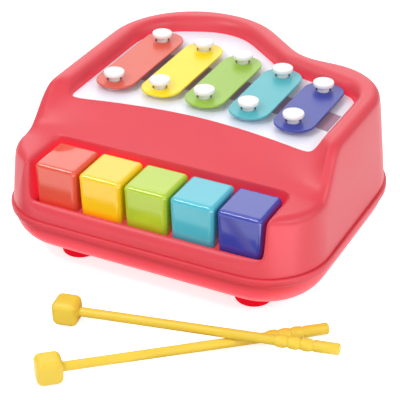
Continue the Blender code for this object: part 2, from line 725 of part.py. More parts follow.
def deck_entries():
    """Edge of the deck opening from the left front corner anticlockwise: point, outward, rounding."""
    entries = [deck_corner(DECK_LEFT_X, -1, HALF), deck_corner(DECK_LEFT_X, -1, 0)]
    low, high = DECK_LEFT_X + DECK_CORNER, DECK_RIGHT_X - DECK_CORNER
    for step in range(1, SHARED_COLUMNS + 1):
        x = low + (high - low) * step / (SHARED_COLUMNS + 1)
        entries.append((Vector((x, deck_front_y(x))), Vector((0, -1)), DECK_FRONT_ROUND))
    entries += [deck_corner(DECK_RIGHT_X, 1, share) for share in (0, HALF, 1)]
    for step in DECK_SIDE_STEPS:
        entries.append((Vector((DECK_RIGHT_X, DECK_FRONT_Y + step)), Vector((1, 0)), DECK_ROUND))
    corners = ((DECK_RIGHT_X, DECK_FRONT_Y), DECK_RIGHT_BACK, DECK_DIP, DECK_CREST, DECK_LEFT_BACK,
               (DECK_LEFT_X, DECK_FRONT_Y))
    radii = (DECK_RIGHT_BACK_RADIUS, DECK_DIP_RADIUS, DECK_CREST_RADIUS, DECK_LEFT_BACK_RADIUS)
    steps = (CORNER_STEPS, BACK_DIP_STEPS, BACK_CREST_STEPS, DECK_LEFT_BACK_STEPS)
    first, second, third, fourth = fillets(corners, radii, steps)
    back = first + between(first[-1], second[0], 1) + second + between(second[-1], third[0], 1) + third
    back += between(third[-1], fourth[0], 1) + fourth
    entries += [(point, -normal, DECK_ROUND) for point, normal in back]
    for step in DECK_LEFT_SIDE_STEPS:
        entries.append((Vector((DECK_LEFT_X, DECK_FRONT_Y + step)), Vector((-1, 0)), DECK_ROUND))
    entries.append(deck_corner(DECK_LEFT_X, -1, 1))
    return entries


def pocket_entries():
    """Pocket edge from the left side's front round the back: point, outward, rounding."""
    corner_y = POCKET_BACK_Y - POCKET_CORNER
    corner_x = POCKET_HALF - POCKET_CORNER
    side_ys = [POCKET_BACK_Y * share for share in POCKET_Y_SHARES] + [corner_y]
    middle_round = (POCKET_ROUND + POCKET_BACK_ROUND) * HALF
    left = [(Vector((-POCKET_HALF, y)), Vector((-1, 0)), POCKET_ROUND) for y in side_ys]
    diagonal = Vector((-DIAGONAL, DIAGONAL))
    centre = Vector((-corner_x, corner_y))
    left.append((centre + diagonal * POCKET_CORNER, diagonal, middle_round))
    right = [(Vector((-p.x, p.y)), Vector((-n.x, n.y)), r) for p, n, r in reversed(left)]
    back = []
    for step in range(SHARED_COLUMNS + 2):
        x = -corner_x + 2 * corner_x * step / (SHARED_COLUMNS + 1)
        back.append((Vector((x, POCKET_BACK_Y)), Vector((0, 1)), POCKET_BACK_ROUND))
    return left + back + right


def on_skin(point):
    """A plan point lifted onto the shell's top skin."""
    return flat(point, top_height(point.x, point.y))


def build_shell_skin():
    """Closed outer body of the top shell with a blind key pocket and a blind deck recess."""
    skin = Skin()
    left_notch = notch_columns(-1)
    right_notch = notch_columns(1)
    front = left_notch + ledge_columns() + right_notch[::-1]
    low_ys = (POCKET_BACK_Y + CHEEK_STEP, SHARED_Y)
    rise_ys = [SHARED_Y + step for step in RISE_STEPS]
    right_low = [plain_column(entry, CHEEK_Z) for entry in cheek_arc(1)]
    right_low += [plain_column(entry) for entry in side_entries(1, low_ys)]
    left_low = [plain_column(entry, CHEEK_Z) for entry in cheek_arc(-1)]
    left_low += [plain_column(entry) for entry in side_entries(-1, low_ys)]
    upper = [plain_column(entry) for entry in side_entries(1, rise_ys)]
    upper += [plain_column(entry) for entry in back_entries()]
    left_ys = [SHARED_Y + LEFT_SIDE_STEP] + rise_ys[::-1]
    upper += [plain_column(entry) for entry in side_entries(-1, left_ys)]
    loop = front + right_low + upper + left_low[::-1]
    skin.patch([list(ring) for ring in zip(*[column_rings(column) for column in loop])], closed=True)
    skin.face(*[column["foot"] for column in loop])

    # Ledge lip going down into the key pocket
    lip = front[NOTCH_SIDE_COLUMNS - 1:1 - NOTCH_SIDE_COLUMNS]
    lip_foot = [flat(column["crown"], POCKET_PIT_Z) for column in lip]
    skin.patch([[column["crown"] for column in lip], lip_foot])

    # Cheeks and shelf round the pocket
    pocket = pocket_entries()
    reach = (POCKET_HALF - POCKET_CORNER) * SHARED_REACH_SHARE
    shared = []
    for step in range(SHARED_COLUMNS + 2):
        x = -reach + 2 * reach * step / (SHARED_COLUMNS + 1)
        shared.append(on_skin(Vector((x, SHARED_Y))))
    outer = [column["crown"] for column in left_low] + shared
    outer += [column["crown"] for column in right_low[::-1]]
    collar = [on_skin(point + away * rounding) for point, away, rounding in pocket]
    rows = [outer, [on_skin(a.lerp(b, HALF)) for a, b in zip(outer, collar)], collar]
    mid_row, top_row = [], []
    for (point, away, rounding), start in zip(pocket, collar):
        mid_row.append(flat(point + away * rounding * ROUND_SHARE, start.z - rounding * ROUND_SHARE))
        top_row.append(flat(point, start.z - rounding))
    rows += [mid_row, top_row]
    for share in POCKET_LEVEL_SHARES:
        low = LEDGE_Z + NOTCH_FOOT_ROUND
        rows.append([flat(top, top.z + (low - top.z) * share) for top in top_row])
    rows.append([flat(entry[0], POCKET_PIT_Z) for entry in pocket])
    skin.face(*(rows[-1] + lip_foot[::-1]))
    for notch, end in ((left_notch, 0), (right_notch, -1)):
        crowns = [column["crown"] for column in notch[:NOTCH_SIDE_COLUMNS]]
        first = [crowns[0], crowns[0]] + crowns + [flat(crowns[-1], POCKET_PIT_Z)]
        for row, point in zip(rows, first):
            if end == 0:
                row.insert(0, point)
            else:
                row.append(point)
    skin.patch(rows)

    # Slope, rim and deck opening
    edge = deck_entries()
    outer = [left_low[-1]["crown"]] + shared + [right_low[-1]["crown"]]
    outer += [column["crown"] for column in upper]
    collar = [on_skin(point + away * rounding) for point, away, rounding in edge]
    rows = [outer]
    for share in UPPER_ROW_SHARES:
        rows.append([on_skin(a.lerp(b, share)) for a, b in zip(outer, collar)])
    rows.append(collar)
    for step in range(1, ROUND_STEPS + 1):
        angle = QUARTER_TURN * step / ROUND_STEPS
        row = []
        for (point, away, rounding), start in zip(edge, collar):
            drop = (start.z - PLATE_TOP_Z) * (1 - cos(angle))
            row.append(flat(point + away * rounding * (1 - sin(angle)), start.z - drop))
        rows.append(row)
    ledge_z = PLATE_TOP_Z - PLATE_THICK - GAP
    rows.append([flat(point, ledge_z) for point, away, rounding in edge])
    rows.append([flat(point - away * DECK_LEDGE, ledge_z) for point, away, rounding in edge])
    rows.append([flat(point, DECK_PIT_Z) for point in rows[-1]])
    skin.patch(rows, closed=True)
    skin.face(*rows[-1])
    return skin.mesh


def outline():
    """The whole shell outline as (point, inward normal), anticlockwise from the left front corner."""
    left = (-HALF_WIDTH, FRONT_Y)
    right = (HALF_WIDTH, FRONT_Y)
    back_left = (-HALF_WIDTH, LEFT_BACK_Y)
    back_right = (HALF_WIDTH, RIGHT_BACK_Y)
    entries = fillet(back_left, left, right, FRONT_LEFT_RADIUS, FRONT_ARC_STEPS)
    entries += fillet(left, right, back_right, FRONT_RIGHT_RADIUS, FRONT_ARC_STEPS)
    return entries + back_entries()


def build_cavity():
    """Inner space of the top shell: drafted inside wall cut by the underside of the skin."""
    entries = outline()
    top = RIM_Z - SHELL_WALL
    levels = [(SHELL_FOOT_Z - CAVITY_FOOT_DROP, 0), (top - CAVITY_ROUND, 0), (top, CAVITY_ROUND)]
    rings = [[flat(p + n * (lean(z) + SHELL_WALL + more), z) for p, n in entries] for z, more in levels]
    skin = Skin()
    skin.patch(rings, closed=True)
    skin.face(*rings[0])
    skin.face(*rings[-1])
    cavity = place("cavity", skin.mesh)
    under = Skin()
    sections = []
    for share in CAVITY_X_SHARES:
        x = HALF_WIDTH * share
        section = [Vector((x, -FAR, 0)), Vector((x, -FAR, CHEEK_Z - ROOF_WALL))]
        for y in [POCKET_BACK_Y + step for step in CAVITY_STEPS]:
            section.append(Vector((x, y, top_height(x, y) - ROOF_WALL)))
        section += [Vector((x, FAR, RIM_Z - SHELL_WALL)), Vector((x, FAR, 0))]
        sections.append(section)
    under.patch(sections, closed=True)
    under.face(*sections[0])
    under.face(*sections[-1])
    bmesh.ops.triangulate(under.mesh, faces=under.mesh.faces)
    combine(cavity, place("under_skin", under.mesh), "INTERSECT")
    keep = Skin()
    edge = deck_entries()
    ledge_foot = PLATE_TOP_Z - PLATE_THICK - GAP - DECK_LEDGE_THICK
    wide = [point + away * SHELL_WALL for point, away, rounding in edge]
    rings = [[flat(point, z) for point in wide] for z in (ledge_foot, FAR)]
    keep.patch(rings, closed=True)
    keep.face(*rings[0])
    keep.face(*rings[-1])
    combine(cavity, place("deck_collar", keep.mesh), "DIFFERENCE")
    side = POCKET_HALF + SHELL_WALL
    back = POCKET_BACK_Y + SHELL_WALL
    for foot, front in ((POCKET_FOOT_Z, -FAR), (POCKET_BACK_FOOT_Z, POCKET_FRONT_Y)):
        block = bmesh.new()
        depth = back if foot == POCKET_BACK_FOOT_Z else POCKET_BACK_Y - POCKET_CORNER
        add_box(block, (-side, front, foot), (side, depth, FAR))
        combine(cavity, place("pocket_collar", block), "DIFFERENCE")
    bosses = bmesh.new()
    for x, y in SCREW_SPOTS:
        add_rod(bosses, x, y, TUBE_TOP_Z + GAP, FAR, BOSS_RADIUS, SCREW_SEGMENTS)
    combine(cavity, place("bosses", bosses), "DIFFERENCE")
    return cavity


def build_top_shell(look):
    """Top shell as one moulded piece with screw bosses."""
    shell = place("top_shell", build_shell_skin(), look)
    combine(shell, build_cavity(), "DIFFERENCE")
    bores = bmesh.new()
    for x, y in SCREW_SPOTS:
        add_rod(bores, x, y, SHELL_FOOT_Z, SCREW_TIP_Z + BORE_DEPTH, BOSS_BORE_RADIUS, SCREW_SEGMENTS)
    combine(shell, place("bores", bores), "DIFFERENCE")
    shade(shell)
    return shell


# Base tray


def tray_rings(inset):
    """Rings of the tray's bowl below the lip, moved inward by the inset."""
    entries = outline()
    reach = TRAY_BOWL_REACH - TRAY_CREASE_IN
    depth = TRAY_CREASE_Z - TRAY_BOTTOM_Z
    power = 2 / TRAY_BOWL_POWER
    rings = []
    for step in range(TRAY_BOWL_STEPS + 1):
        angle = QUARTER_TURN * step / TRAY_BOWL_STEPS
        inward = TRAY_CREASE_IN + reach * (1 - cos(angle) ** power if step < TRAY_BOWL_STEPS else 1)
        z = TRAY_CREASE_Z - depth * sin(angle) ** power
        inward += inset * cos(angle)
        z += inset * sin(angle)
        rings.append([flat(point + normal * inward, z) for point, normal in entries])
    return rings


def build_tray(look):
    """Base tray: lipped bowl with pivot ribs, spring posts, rest rail and screw tubes."""
    entries = outline()
    lip = []
    for inward, z in ((-TRAY_LIP_PROUD, TRAY_TOP_Z), (-TRAY_LIP_PROUD, TRAY_LIP_FOOT_Z)):
        lip.append([flat(point + normal * inward, z) for point, normal in entries])
    rings = lip + tray_rings(0)
    inner_lip = [flat(point + normal * (TRAY_CREASE_IN + TRAY_WALL), TRAY_TOP_Z) for point, normal in entries]
    inner = tray_rings(TRAY_WALL)
    skin = Skin()
    skin.patch(rings, closed=True)
    skin.face(*rings[-1])
    skin.patch(inner[::-1] + [inner_lip, rings[0]], closed=True)
    skin.face(*inner[-1])
    tray = place("base_tray", skin.mesh, look)

    inside = bmesh.new()
    for x in RIB_XS:
        add_box(inside, (x - RIB_HALF_THICK, PIVOT_Y - RIB_HALF_DEPTH, 0),
                (x + RIB_HALF_THICK, PIVOT_Y + RIB_HALF_DEPTH, RIB_TOP_Z))
    for number in range(KEY_COUNT):
        add_rod(inside, key_x(number), SPRING_Y, 0, SPRING_SEAT_Z, SPRING_POST_RADIUS, SCREW_SEGMENTS)
    add_box(inside, (-RAIL_HALF_LENGTH, RAIL_Y - RAIL_HALF_DEPTH, 0),
            (RAIL_HALF_LENGTH, RAIL_Y + RAIL_HALF_DEPTH, RAIL_TOP_Z))
    for x, y in SCREW_SPOTS:
        add_rod(inside, x, y, 0, TUBE_TOP_Z, TUBE_RADIUS, SCREW_SEGMENTS)
    inside = place("tray_inside", inside)
    limit = Skin()
    middle = tray_rings(TRAY_WALL * HALF)
    top = [flat(point, RIM_Z) for point in middle[0]]
    limit.patch([top] + middle, closed=True)
    limit.face(*top)
    limit.face(*middle[-1])
    combine(inside, place("tray_limit", limit.mesh), "INTERSECT")
    combine(tray, inside, "UNION")

    cuts = bmesh.new()
    for x in RIB_XS:
        across = Matrix.Translation((x, PIVOT_Y, PIVOT_Z)) @ Matrix.Rotation(QUARTER_TURN, 4, "Y")
        far = RIB_HALF_THICK * 2
        add_turned(cuts, ((ROD_RADIUS + GAP, -far), (ROD_RADIUS + GAP, far)), SCREW_SEGMENTS, across)
    for x, y in SCREW_SPOTS:
        head = Matrix.Translation((x, y, 0))
        steps = ((HEAD_RECESS_RADIUS, -GAP), (HEAD_RECESS_RADIUS, HEAD_SEAT_Z),
                 (TUBE_BORE_RADIUS, HEAD_SEAT_Z), (TUBE_BORE_RADIUS, TUBE_TOP_Z + GAP))
        add_turned(cuts, steps, SCREW_SEGMENTS, head)
    for x, y in FOOT_SPOTS:
        stud_top = TRAY_BOTTOM_Z + FOOT_STUD_RISE
        add_rod(cuts, x, y, -GAP, stud_top + GAP, FOOT_STUD_RADIUS + GAP, SCREW_SEGMENTS)
    combine(tray, place("tray_cuts", cuts), "DIFFERENCE")
    shade(tray)
    return tray


def key_x(number):
    """Middle of a key, numbered from 0 at the left."""
    return (number - (KEY_COUNT - 1) * HALF) * KEY_PITCH


def bar_x(number):
    """Middle of a metal bar, numbered from 0 at the left."""
    return (number - (KEY_COUNT - 1) * HALF) * BAR_PITCH + BAR_SHIFT


def post_spots(number):
    """Plan places of a bar's front and back post."""
    return {end: (bar_x(number) + shift, POST_YS[end][number]) for end, shift in POST_SHIFTS.items()}


# Deck plate with its damping strip


def prism(points, low, high):
    """Closed upright prism over plan points."""
    skin = Skin()
    rings = [[flat(point, z) for point in points] for z in (low, high)]
    skin.patch(rings, closed=True)
    skin.face(*rings[0])
    skin.face(*rings[1])
    return skin.mesh


def band_outline(inset):
    """Plan outline of the damping strip, moved inward by the inset."""
    left = [Vector(point) + Vector((0, inset)) for point in BAND_FRONT]
    right = [Vector(point) - Vector((0, inset)) for point in BAND_BACK]
    left[0].x += inset
    right[-1].x += inset
    left[-1].x -= inset
    right[0].x -= inset
    return left + right


def add_hammer_windows(mesh, low, high):
    """Openings that the five hammers rise through."""
    for number, y in enumerate(HAMMER_YS):
        x = key_x(number)
        swing = HAMMER_REST_LIFT * sin(radians(PRESS_DEGREES))
        add_box(mesh, (x - HAMMER_HALF_X - HAMMER_CLEAR, y - HAMMER_HALF_Y - HAMMER_CLEAR - swing, low),
                (x + HAMMER_HALF_X + HAMMER_CLEAR, y + HAMMER_HALF_Y + HAMMER_CLEAR, high))


def build_plate(look):
    """Deck plate with bosses under the bars, a recess for the strip and hammer windows."""
    plate_foot = PLATE_TOP_Z - PLATE_THICK
    edge = [point - away * PLATE_GAP for point, away, rounding in deck_entries()]
    plate = place("deck_plate", prism(edge, plate_foot, PLATE_TOP_Z), look)
    cuts = place("recess", prism(band_outline(0), PLATE_TOP_Z - BAND_RECESS, FAR))
    combine(plate, cuts, "DIFFERENCE")
    bosses = bmesh.new()
    for number in range(KEY_COUNT):
        for x, y in post_spots(number).values():
            add_rod(bosses, x, y, plate_foot + GAP, PLATE_BOSS_TOP_Z, PLATE_BOSS_RADIUS, POST_SEGMENTS)
    combine(plate, place("bosses", bosses), "UNION")
    holes = bmesh.new()
    for number in range(KEY_COUNT):
        for x, y in post_spots(number).values():
            add_rod(holes, x, y, PIN_FOOT_Z, FAR, PIN_RADIUS + GAP, SCREW_SEGMENTS)
    add_hammer_windows(holes, PIN_FOOT_Z, FAR)
    combine(plate, place("holes", holes), "DIFFERENCE")
    shade(plate)
    return plate


def build_felt(look):
    """Damping strip lying in the plate's recess."""
    low = PLATE_TOP_Z - BAND_RECESS + GAP
    felt = place("damping_strip", prism(band_outline(GAP), low, PLATE_TOP_Z - FELT_SINK), look)
    holes = bmesh.new()
    add_hammer_windows(holes, PIN_FOOT_Z, FAR)
    combine(felt, place("windows", holes), "DIFFERENCE")
    return felt


# Keys with their levers


def build_key(number, look):
    """Hollow key block with its lever, pivot boss and hammer socket; origin on the pivot."""
    x = key_x(number)
    mesh = bmesh.new()
    half = KEY_WIDTH * HALF
    add_box(mesh, (x - half, 0, KEY_FOOT_Z), (x + half, KEY_DEPTH, KEY_TOP_Z))
    for vert in mesh.verts:
        if vert.co.z < (KEY_FOOT_Z + KEY_TOP_Z) * HALF:
            vert.co.x += KEY_TAPER if vert.co.x < x else -KEY_TAPER
            vert.co.y += KEY_TAPER if vert.co.y < KEY_DEPTH * HALF else 0
    rounded = []
    for edge in mesh.edges:
        if max(vert.co.z for vert in edge.verts) > (KEY_FOOT_Z + KEY_TOP_Z) * HALF:
            rounded.append(edge)
    bmesh.ops.bevel(mesh, geom=rounded, offset=KEY_ROUND,
                    segments=KEY_ROUND_STEPS, profile=HALF, affect="EDGES")
    key = place(f"key_{number + 1}", mesh, look, (0, 0, 0))
    hollow = bmesh.new()
    wall = KEY_WALL + KEY_TAPER
    add_box(hollow, (x - half + wall, wall, 0), (x + half - wall, KEY_DEPTH - KEY_WALL, KEY_TOP_Z - KEY_WALL))
    combine(key, place("hollow", hollow), "DIFFERENCE")
    lever = bmesh.new()
    tail = HAMMER_YS[number] + LEVER_TAIL
    add_box(lever, (x - LEVER_WIDTH * HALF, LEVER_REACH_Y, LEVER_FOOT_Z),
            (x + LEVER_WIDTH * HALF, tail, LEVER_TOP_Z))
    combine(key, place("lever", lever), "UNION")
    boss = bmesh.new()
    across = Matrix.Translation((x, PIVOT_Y, PIVOT_Z)) @ Matrix.Rotation(QUARTER_TURN, 4, "Y")
    reach = LEVER_WIDTH * HALF
    add_turned(boss, ((PIVOT_BOSS_RADIUS, -reach), (PIVOT_BOSS_RADIUS, reach)), POST_SEGMENTS, across)
    combine(key, place("boss", boss), "UNION")
    holes = bmesh.new()
    far = LEVER_WIDTH
    add_turned(holes, ((ROD_RADIUS + GAP, -far), (ROD_RADIUS + GAP, far)), SCREW_SEGMENTS, across)
    socket_foot = LEVER_TOP_Z - PEG_DEPTH - GAP
    add_rod(holes, x, HAMMER_YS[number], socket_foot, FAR, PEG_RADIUS + GAP, SCREW_SEGMENTS)
    combine(key, place("holes", holes), "DIFFERENCE")
    pivot = Vector((x, PIVOT_Y, PIVOT_Z))
    key.data.transform(Matrix.Translation(-pivot))
    key.location = pivot
    shade(key)
    return key


def build_hammer(number, look):
    """Striker that the lever lifts against the bar from below."""
    x, y = key_x(number), HAMMER_YS[number]
    rise = (y - PIVOT_Y) * sin(radians(PRESS_DEGREES))
    top = BAR_FOOT_Z - STRIKE_GAP - rise
    mesh = bmesh.new()
    foot = LEVER_TOP_Z + GAP
    add_box(mesh, (x - HAMMER_STEM_HALF, y - HAMMER_STEM_HALF, foot),
            (x + HAMMER_STEM_HALF, y + HAMMER_STEM_HALF, top - HAMMER_HEAD * HALF))
    hammer = place(f"hammer_{number + 1}", mesh, look)
    head = bmesh.new()
    add_box(head, (x - HAMMER_HALF_X, y - HAMMER_HALF_Y, top - HAMMER_HEAD),
            (x + HAMMER_HALF_X, y + HAMMER_HALF_Y, top))
    rounded = [edge for edge in head.edges if min(vert.co.z for vert in edge.verts) > top - GAP]
    bmesh.ops.bevel(head, geom=rounded, offset=PEG_RADIUS,
                    segments=HAMMER_ROUND_STEPS, profile=HALF, affect="EDGES")
    combine(hammer, place("head", head), "UNION")
    peg = bmesh.new()
    add_rod(peg, x, y, LEVER_TOP_Z - PEG_DEPTH, foot + GAP, PEG_RADIUS, SCREW_SEGMENTS)
    combine(hammer, place("peg", peg), "UNION")
    shade(hammer)
    return hammer


def build_spring(number, look):
    """Return spring under the lever, a closed tube along a helix."""
    x = key_x(number)
    low = SPRING_SEAT_Z + GAP + SPRING_WIRE
    high = LEVER_FOOT_Z - GAP - SPRING_WIRE
    mesh = bmesh.new()
    rings = []
    count = SPRING_TURNS * SPRING_RING
    for step in range(count + 1):
        angle = FULL_TURN * step / SPRING_RING
        outward = Vector((cos(angle), sin(angle), 0))
        centre = Vector((x, SPRING_Y, low + (high - low) * step / count)) + outward * SPRING_RADIUS
        ring = []
        for side in range(SPRING_SIDES):
            turn = FULL_TURN * side / SPRING_SIDES
            away = outward * cos(turn) + Vector((0, 0, sin(turn)))
            ring.append(mesh.verts.new(centre + away * SPRING_WIRE))
        rings.append(ring)
    for first, second in zip(rings, rings[1:]):
        for side in range(SPRING_SIDES):
            after = (side + 1) % SPRING_SIDES
            mesh.faces.new((first[side], first[after], second[after], second[side]))
    mesh.faces.new(rings[0])
    mesh.faces.new(rings[-1])
    spring = place(f"key_spring_{number + 1}", mesh, look)
    shade(spring, SPRING_SHARP_DEGREES)
    return spring


# Metal bars and their posts


def build_bar(number, look):
    """Flat metal bar with round ends and two post holes."""
    x = bar_x(number)
    side = BAR_WIDTH * HALF - BAR_CORNER
    low, high = BAR_FRONT_YS[number] + BAR_CORNER, BAR_BACK_YS[number] - BAR_CORNER
    points = []
    for quarter, centre in enumerate(((side, high), (-side, high), (-side, low), (side, low))):
        for step in range(BAR_CORNER_STEPS + 1):
            angle = QUARTER_TURN * (quarter + step / BAR_CORNER_STEPS)
            points.append((cos(angle), sin(angle), centre))
    skin = Skin()
    top = BAR_FOOT_Z + BAR_THICK
    rings = []
    for radius, z in ((BAR_CORNER, BAR_FOOT_Z), (BAR_CORNER, top - BAR_EDGE), (BAR_CORNER - BAR_EDGE, top)):
        rings.append([Vector((x + cx + radius * c, cy + radius * s, z)) for c, s, (cx, cy) in points])
    skin.patch(rings, closed=True)
    skin.face(*rings[0])
    skin.face(*rings[-1])
    bar = place(f"bar_{number + 1}", skin.mesh, look)
    holes = bmesh.new()
    for post_x, post_y in post_spots(number).values():
        add_rod(holes, post_x, post_y, PLATE_TOP_Z, FAR, BAR_HOLE_RADIUS, POST_SEGMENTS)
    combine(bar, place("holes", holes), "DIFFERENCE")
    shade(bar, FINE_SHARP_DEGREES)
    return bar


def build_post(name, x, y, look):
    """Flat-capped post that keeps a bar in place."""
    cap_foot = BAR_FOOT_Z + BAR_THICK + CAP_RISE
    cap_top = cap_foot + CAP_EDGE
    profile = (
        (PIN_RADIUS, PIN_FOOT_Z), (PIN_RADIUS, PLATE_BOSS_TOP_Z + GAP),
        (STEM_RADIUS, PLATE_BOSS_TOP_Z + GAP), (STEM_RADIUS, cap_foot),
        (CAP_RADIUS - CAP_ROUND, cap_foot), (CAP_RADIUS, cap_foot + CAP_ROUND),
        (CAP_RADIUS, cap_top - CAP_ROUND), (CAP_RADIUS - CAP_ROUND, cap_top),
        (CAP_RADIUS * HALF, cap_top + CAP_DOME),
    )
    mesh = bmesh.new()
    add_turned(mesh, profile, POST_SEGMENTS, Matrix.Translation((x, y, 0)))
    post = place(name, mesh, look)
    shade(post)
    return post


# Small hardware
def build_rod(look):
    """Pivot rod that all five levers turn on."""
    mesh = bmesh.new()
    across = Matrix.Translation((0, PIVOT_Y, PIVOT_Z)) @ Matrix.Rotation(QUARTER_TURN, 4, "Y")
    add_turned(mesh, ((ROD_RADIUS, -ROD_END_X), (ROD_RADIUS, ROD_END_X)), SCREW_SEGMENTS, across)
    rod = place("pivot_rod", mesh, look)
    shade(rod)
    return rod


def build_strip(look):
    """Soft strip that the levers rest on."""
    mesh = bmesh.new()
    add_box(mesh, (-RAIL_HALF_LENGTH, RAIL_Y - STRIP_HALF_DEPTH, RAIL_TOP_Z + GAP),
            (RAIL_HALF_LENGTH, RAIL_Y + STRIP_HALF_DEPTH, LEVER_FOOT_Z - GAP))
    return place("lever_rest_strip", mesh, look)


def build_screw(number, look):
    """Self-tapping screw with a slotted head, entered from below."""
    x, y = SCREW_SPOTS[number]
    top = HEAD_SEAT_Z - GAP
    foot = top - SCREW_HEAD_THICK
    mesh = bmesh.new()
    profile = ((SCREW_HEAD_RADIUS, foot), (SCREW_HEAD_RADIUS, top), (SCREW_RADIUS, top),
               (SCREW_RADIUS, SCREW_TIP_Z - SCREW_RADIUS), (SCREW_SLOT_HALF, SCREW_TIP_Z))
    add_turned(mesh, profile, SCREW_SEGMENTS, Matrix.Translation((x, y, 0)))
    screw = place(f"screw_{number + 1}", mesh, look)
    slot = bmesh.new()
    add_box(slot, (x - SCREW_HEAD_RADIUS * 2, y - SCREW_SLOT_HALF, 0),
            (x + SCREW_HEAD_RADIUS * 2, y + SCREW_SLOT_HALF, foot + SCREW_SLOT_DEPTH))
    combine(screw, place("slot", slot), "DIFFERENCE")
    shade(screw)
    return screw


def build_foot(name, spot, look):
    """Round soft foot with a stud that plugs into the tray."""
    top = TRAY_BOTTOM_Z - GAP
    middle = FOOT_ROUND * ROUND_SHARE
    profile = ((FOOT_RADIUS - FOOT_ROUND, 0), (FOOT_RADIUS - middle, middle), (FOOT_RADIUS, FOOT_ROUND),
               (FOOT_RADIUS, top), (FOOT_STUD_RADIUS, top),
               (FOOT_STUD_RADIUS, top + FOOT_STUD_RISE))
    mesh = bmesh.new()
    add_turned(mesh, profile, FOOT_SEGMENTS, Matrix.Translation((*spot, 0)))
    foot = place(name, mesh, look)
    shade(foot)
    return foot


# Mallets
def axis_frame(head, tail):
    """Frame at the head centre whose Z runs along the stick, X level."""
    along = (tail - head).normalized()
    level = along.cross(Vector((0, 0, 1))).normalized()
    up = level.cross(along)
    turn = Matrix((level, up, along)).transposed().to_4x4()
    return Matrix.Translation(head) @ turn


def build_mallet(name, head_spot, tail_spot, look_head, look_stick):
    """One mallet: cube head with a socket, and a stick with a ringed handle."""
    head_spot, tail_spot = Vector(head_spot), Vector(tail_spot)
    frame = axis_frame(head_spot, tail_spot)
    length = (tail_spot - head_spot).length
    mesh = bmesh.new()
    bmesh.ops.create_cube(mesh, size=HEAD_HALF * 2)
    bmesh.ops.bevel(mesh, geom=mesh.edges[:], offset=HEAD_ROUND,
                    segments=HEAD_ROUND_STEPS, profile=HALF, affect="EDGES")
    bmesh.ops.transform(mesh, matrix=frame, verts=mesh.verts)
    head = place(f"{name}_head", mesh, look_head)
    hole = bmesh.new()
    bore = STICK_HEAD_RADIUS + GAP
    add_turned(hole, ((bore, HEAD_HALF - STICK_BITE), (bore, HEAD_HALF * 2)), STICK_SEGMENTS, frame)
    combine(head, place("hole", hole), "DIFFERENCE")
    shade(head, FINE_SHARP_DEGREES)
    handle = length - HANDLE_END - HANDLE_RING * HANDLE_RINGS
    profile = [(STICK_HEAD_RADIUS, HEAD_HALF - STICK_BITE + GAP), (STICK_HEAD_RADIUS, HEAD_HALF)]
    neck = STICK_TAIL_RADIUS - HANDLE_NECK
    profile.append((neck, handle))
    for ring in range(HANDLE_RINGS):
        start = handle + HANDLE_RING * ring
        for share, bulge in ((QUARTER_SHARE, 1), (1 - QUARTER_SHARE, 1), (1, 0)):
            profile.append((neck + (HANDLE_NECK + HANDLE_BULGE) * bulge, start + HANDLE_RING * share))
    profile += [(STICK_TAIL_RADIUS, handle + HANDLE_RING * HANDLE_RINGS + HANDLE_NECK * 2),
                (STICK_TAIL_RADIUS, length - HANDLE_NECK), (STICK_TAIL_RADIUS - HANDLE_NECK, length)]
    body = bmesh.new()
    add_turned(body, profile, STICK_SEGMENTS, frame)
    stick = place(f"{name}_stick", body, look_stick)
    shade(stick)
    return head, stick


def centre_set():
    """Moves the whole set so that its box stands centred on the origin."""
    bpy.context.view_layer.update()
    corners = []
    for made in bpy.data.objects:
        corners += [made.matrix_world @ vert.co for vert in made.data.vertices]
    low = Vector([min(corner[axis] for corner in corners) for axis in range(3)])
    high = Vector([max(corner[axis] for corner in corners) for axis in range(3)])
    shift = Vector(((low.x + high.x) * HALF, (low.y + high.y) * HALF, low.z))
    for made in bpy.data.objects:
        made.location -= shift


def main():
    """Builds every piece, then centres the set on the origin."""
    for old in list(bpy.data.objects):
        bpy.data.objects.remove(old)
    build_top_shell(material("shell_red", SHELL_RED, 0.42))
    build_tray(material("tray_red", TRAY_RED, 0.42))
    build_plate(material("plate_white", PLATE_WHITE, 0.40))
    build_felt(material("strip_mauve", STRIP_MAUVE, 0.80))
    build_strip(material("rest_rubber", REST_BLACK, 0.80))
    build_rod(material("rod_steel", ROD_GREY, 0.30, 1.0))
    for number, colour in enumerate(NOTE_COLOURS):
        build_key(number, material(f"key_{number + 1}_plastic", colour, 0.20))
        build_hammer(number, material(f"hammer_{number + 1}_rubber", HAMMER_GREY, 0.70))
        build_spring(number, material(f"spring_{number + 1}_steel", STEEL_GREY, 0.35, 1.0))
        build_bar(number, material(f"bar_{number + 1}_painted_metal", colour, 0.30))
        for end, (x, y) in post_spots(number).items():
            name = f"post_{end}_{number + 1}"
            build_post(name, x, y, material(f"{name}_white", POST_WHITE, 0.35))
    for number in range(len(SCREW_SPOTS)):
        build_screw(number, material(f"screw_{number + 1}_steel", STEEL_GREY, 0.35, 1.0))
    for name, spot in zip(FOOT_NAMES, FOOT_SPOTS):
        build_foot(f"foot_{name}", spot, material(f"foot_{name}_rubber", FOOT_RED, 0.60))
    mallets = (("upper_mallet", UPPER_HEAD, UPPER_TAIL), ("lower_mallet", LOWER_HEAD, LOWER_TAIL))
    for name, head, tail in mallets:
        look_head = material(f"{name}_head_yellow", MALLET_YELLOW, 0.45)
        look_stick = material(f"{name}_stick_yellow", MALLET_YELLOW, 0.40)
        build_mallet(name, head, tail, look_head, look_stick)
    centre_set()


main()
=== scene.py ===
# %% [markdown]
# # A xylophone piano toy
#
# The toy is a small grand piano moulded in red plastic. Five press keys stand in front, five
# enamelled metal bars lie on a white deck behind them, and two yellow mallets lie on the floor.
# The solid model is loaded first and stays fixed. Each cell after it dresses one piece.

# %% Load the solid model
from math import cos, pi, radians, sin, sqrt, tan

import bmesh
import bpy
from mathutils import Matrix, Vector


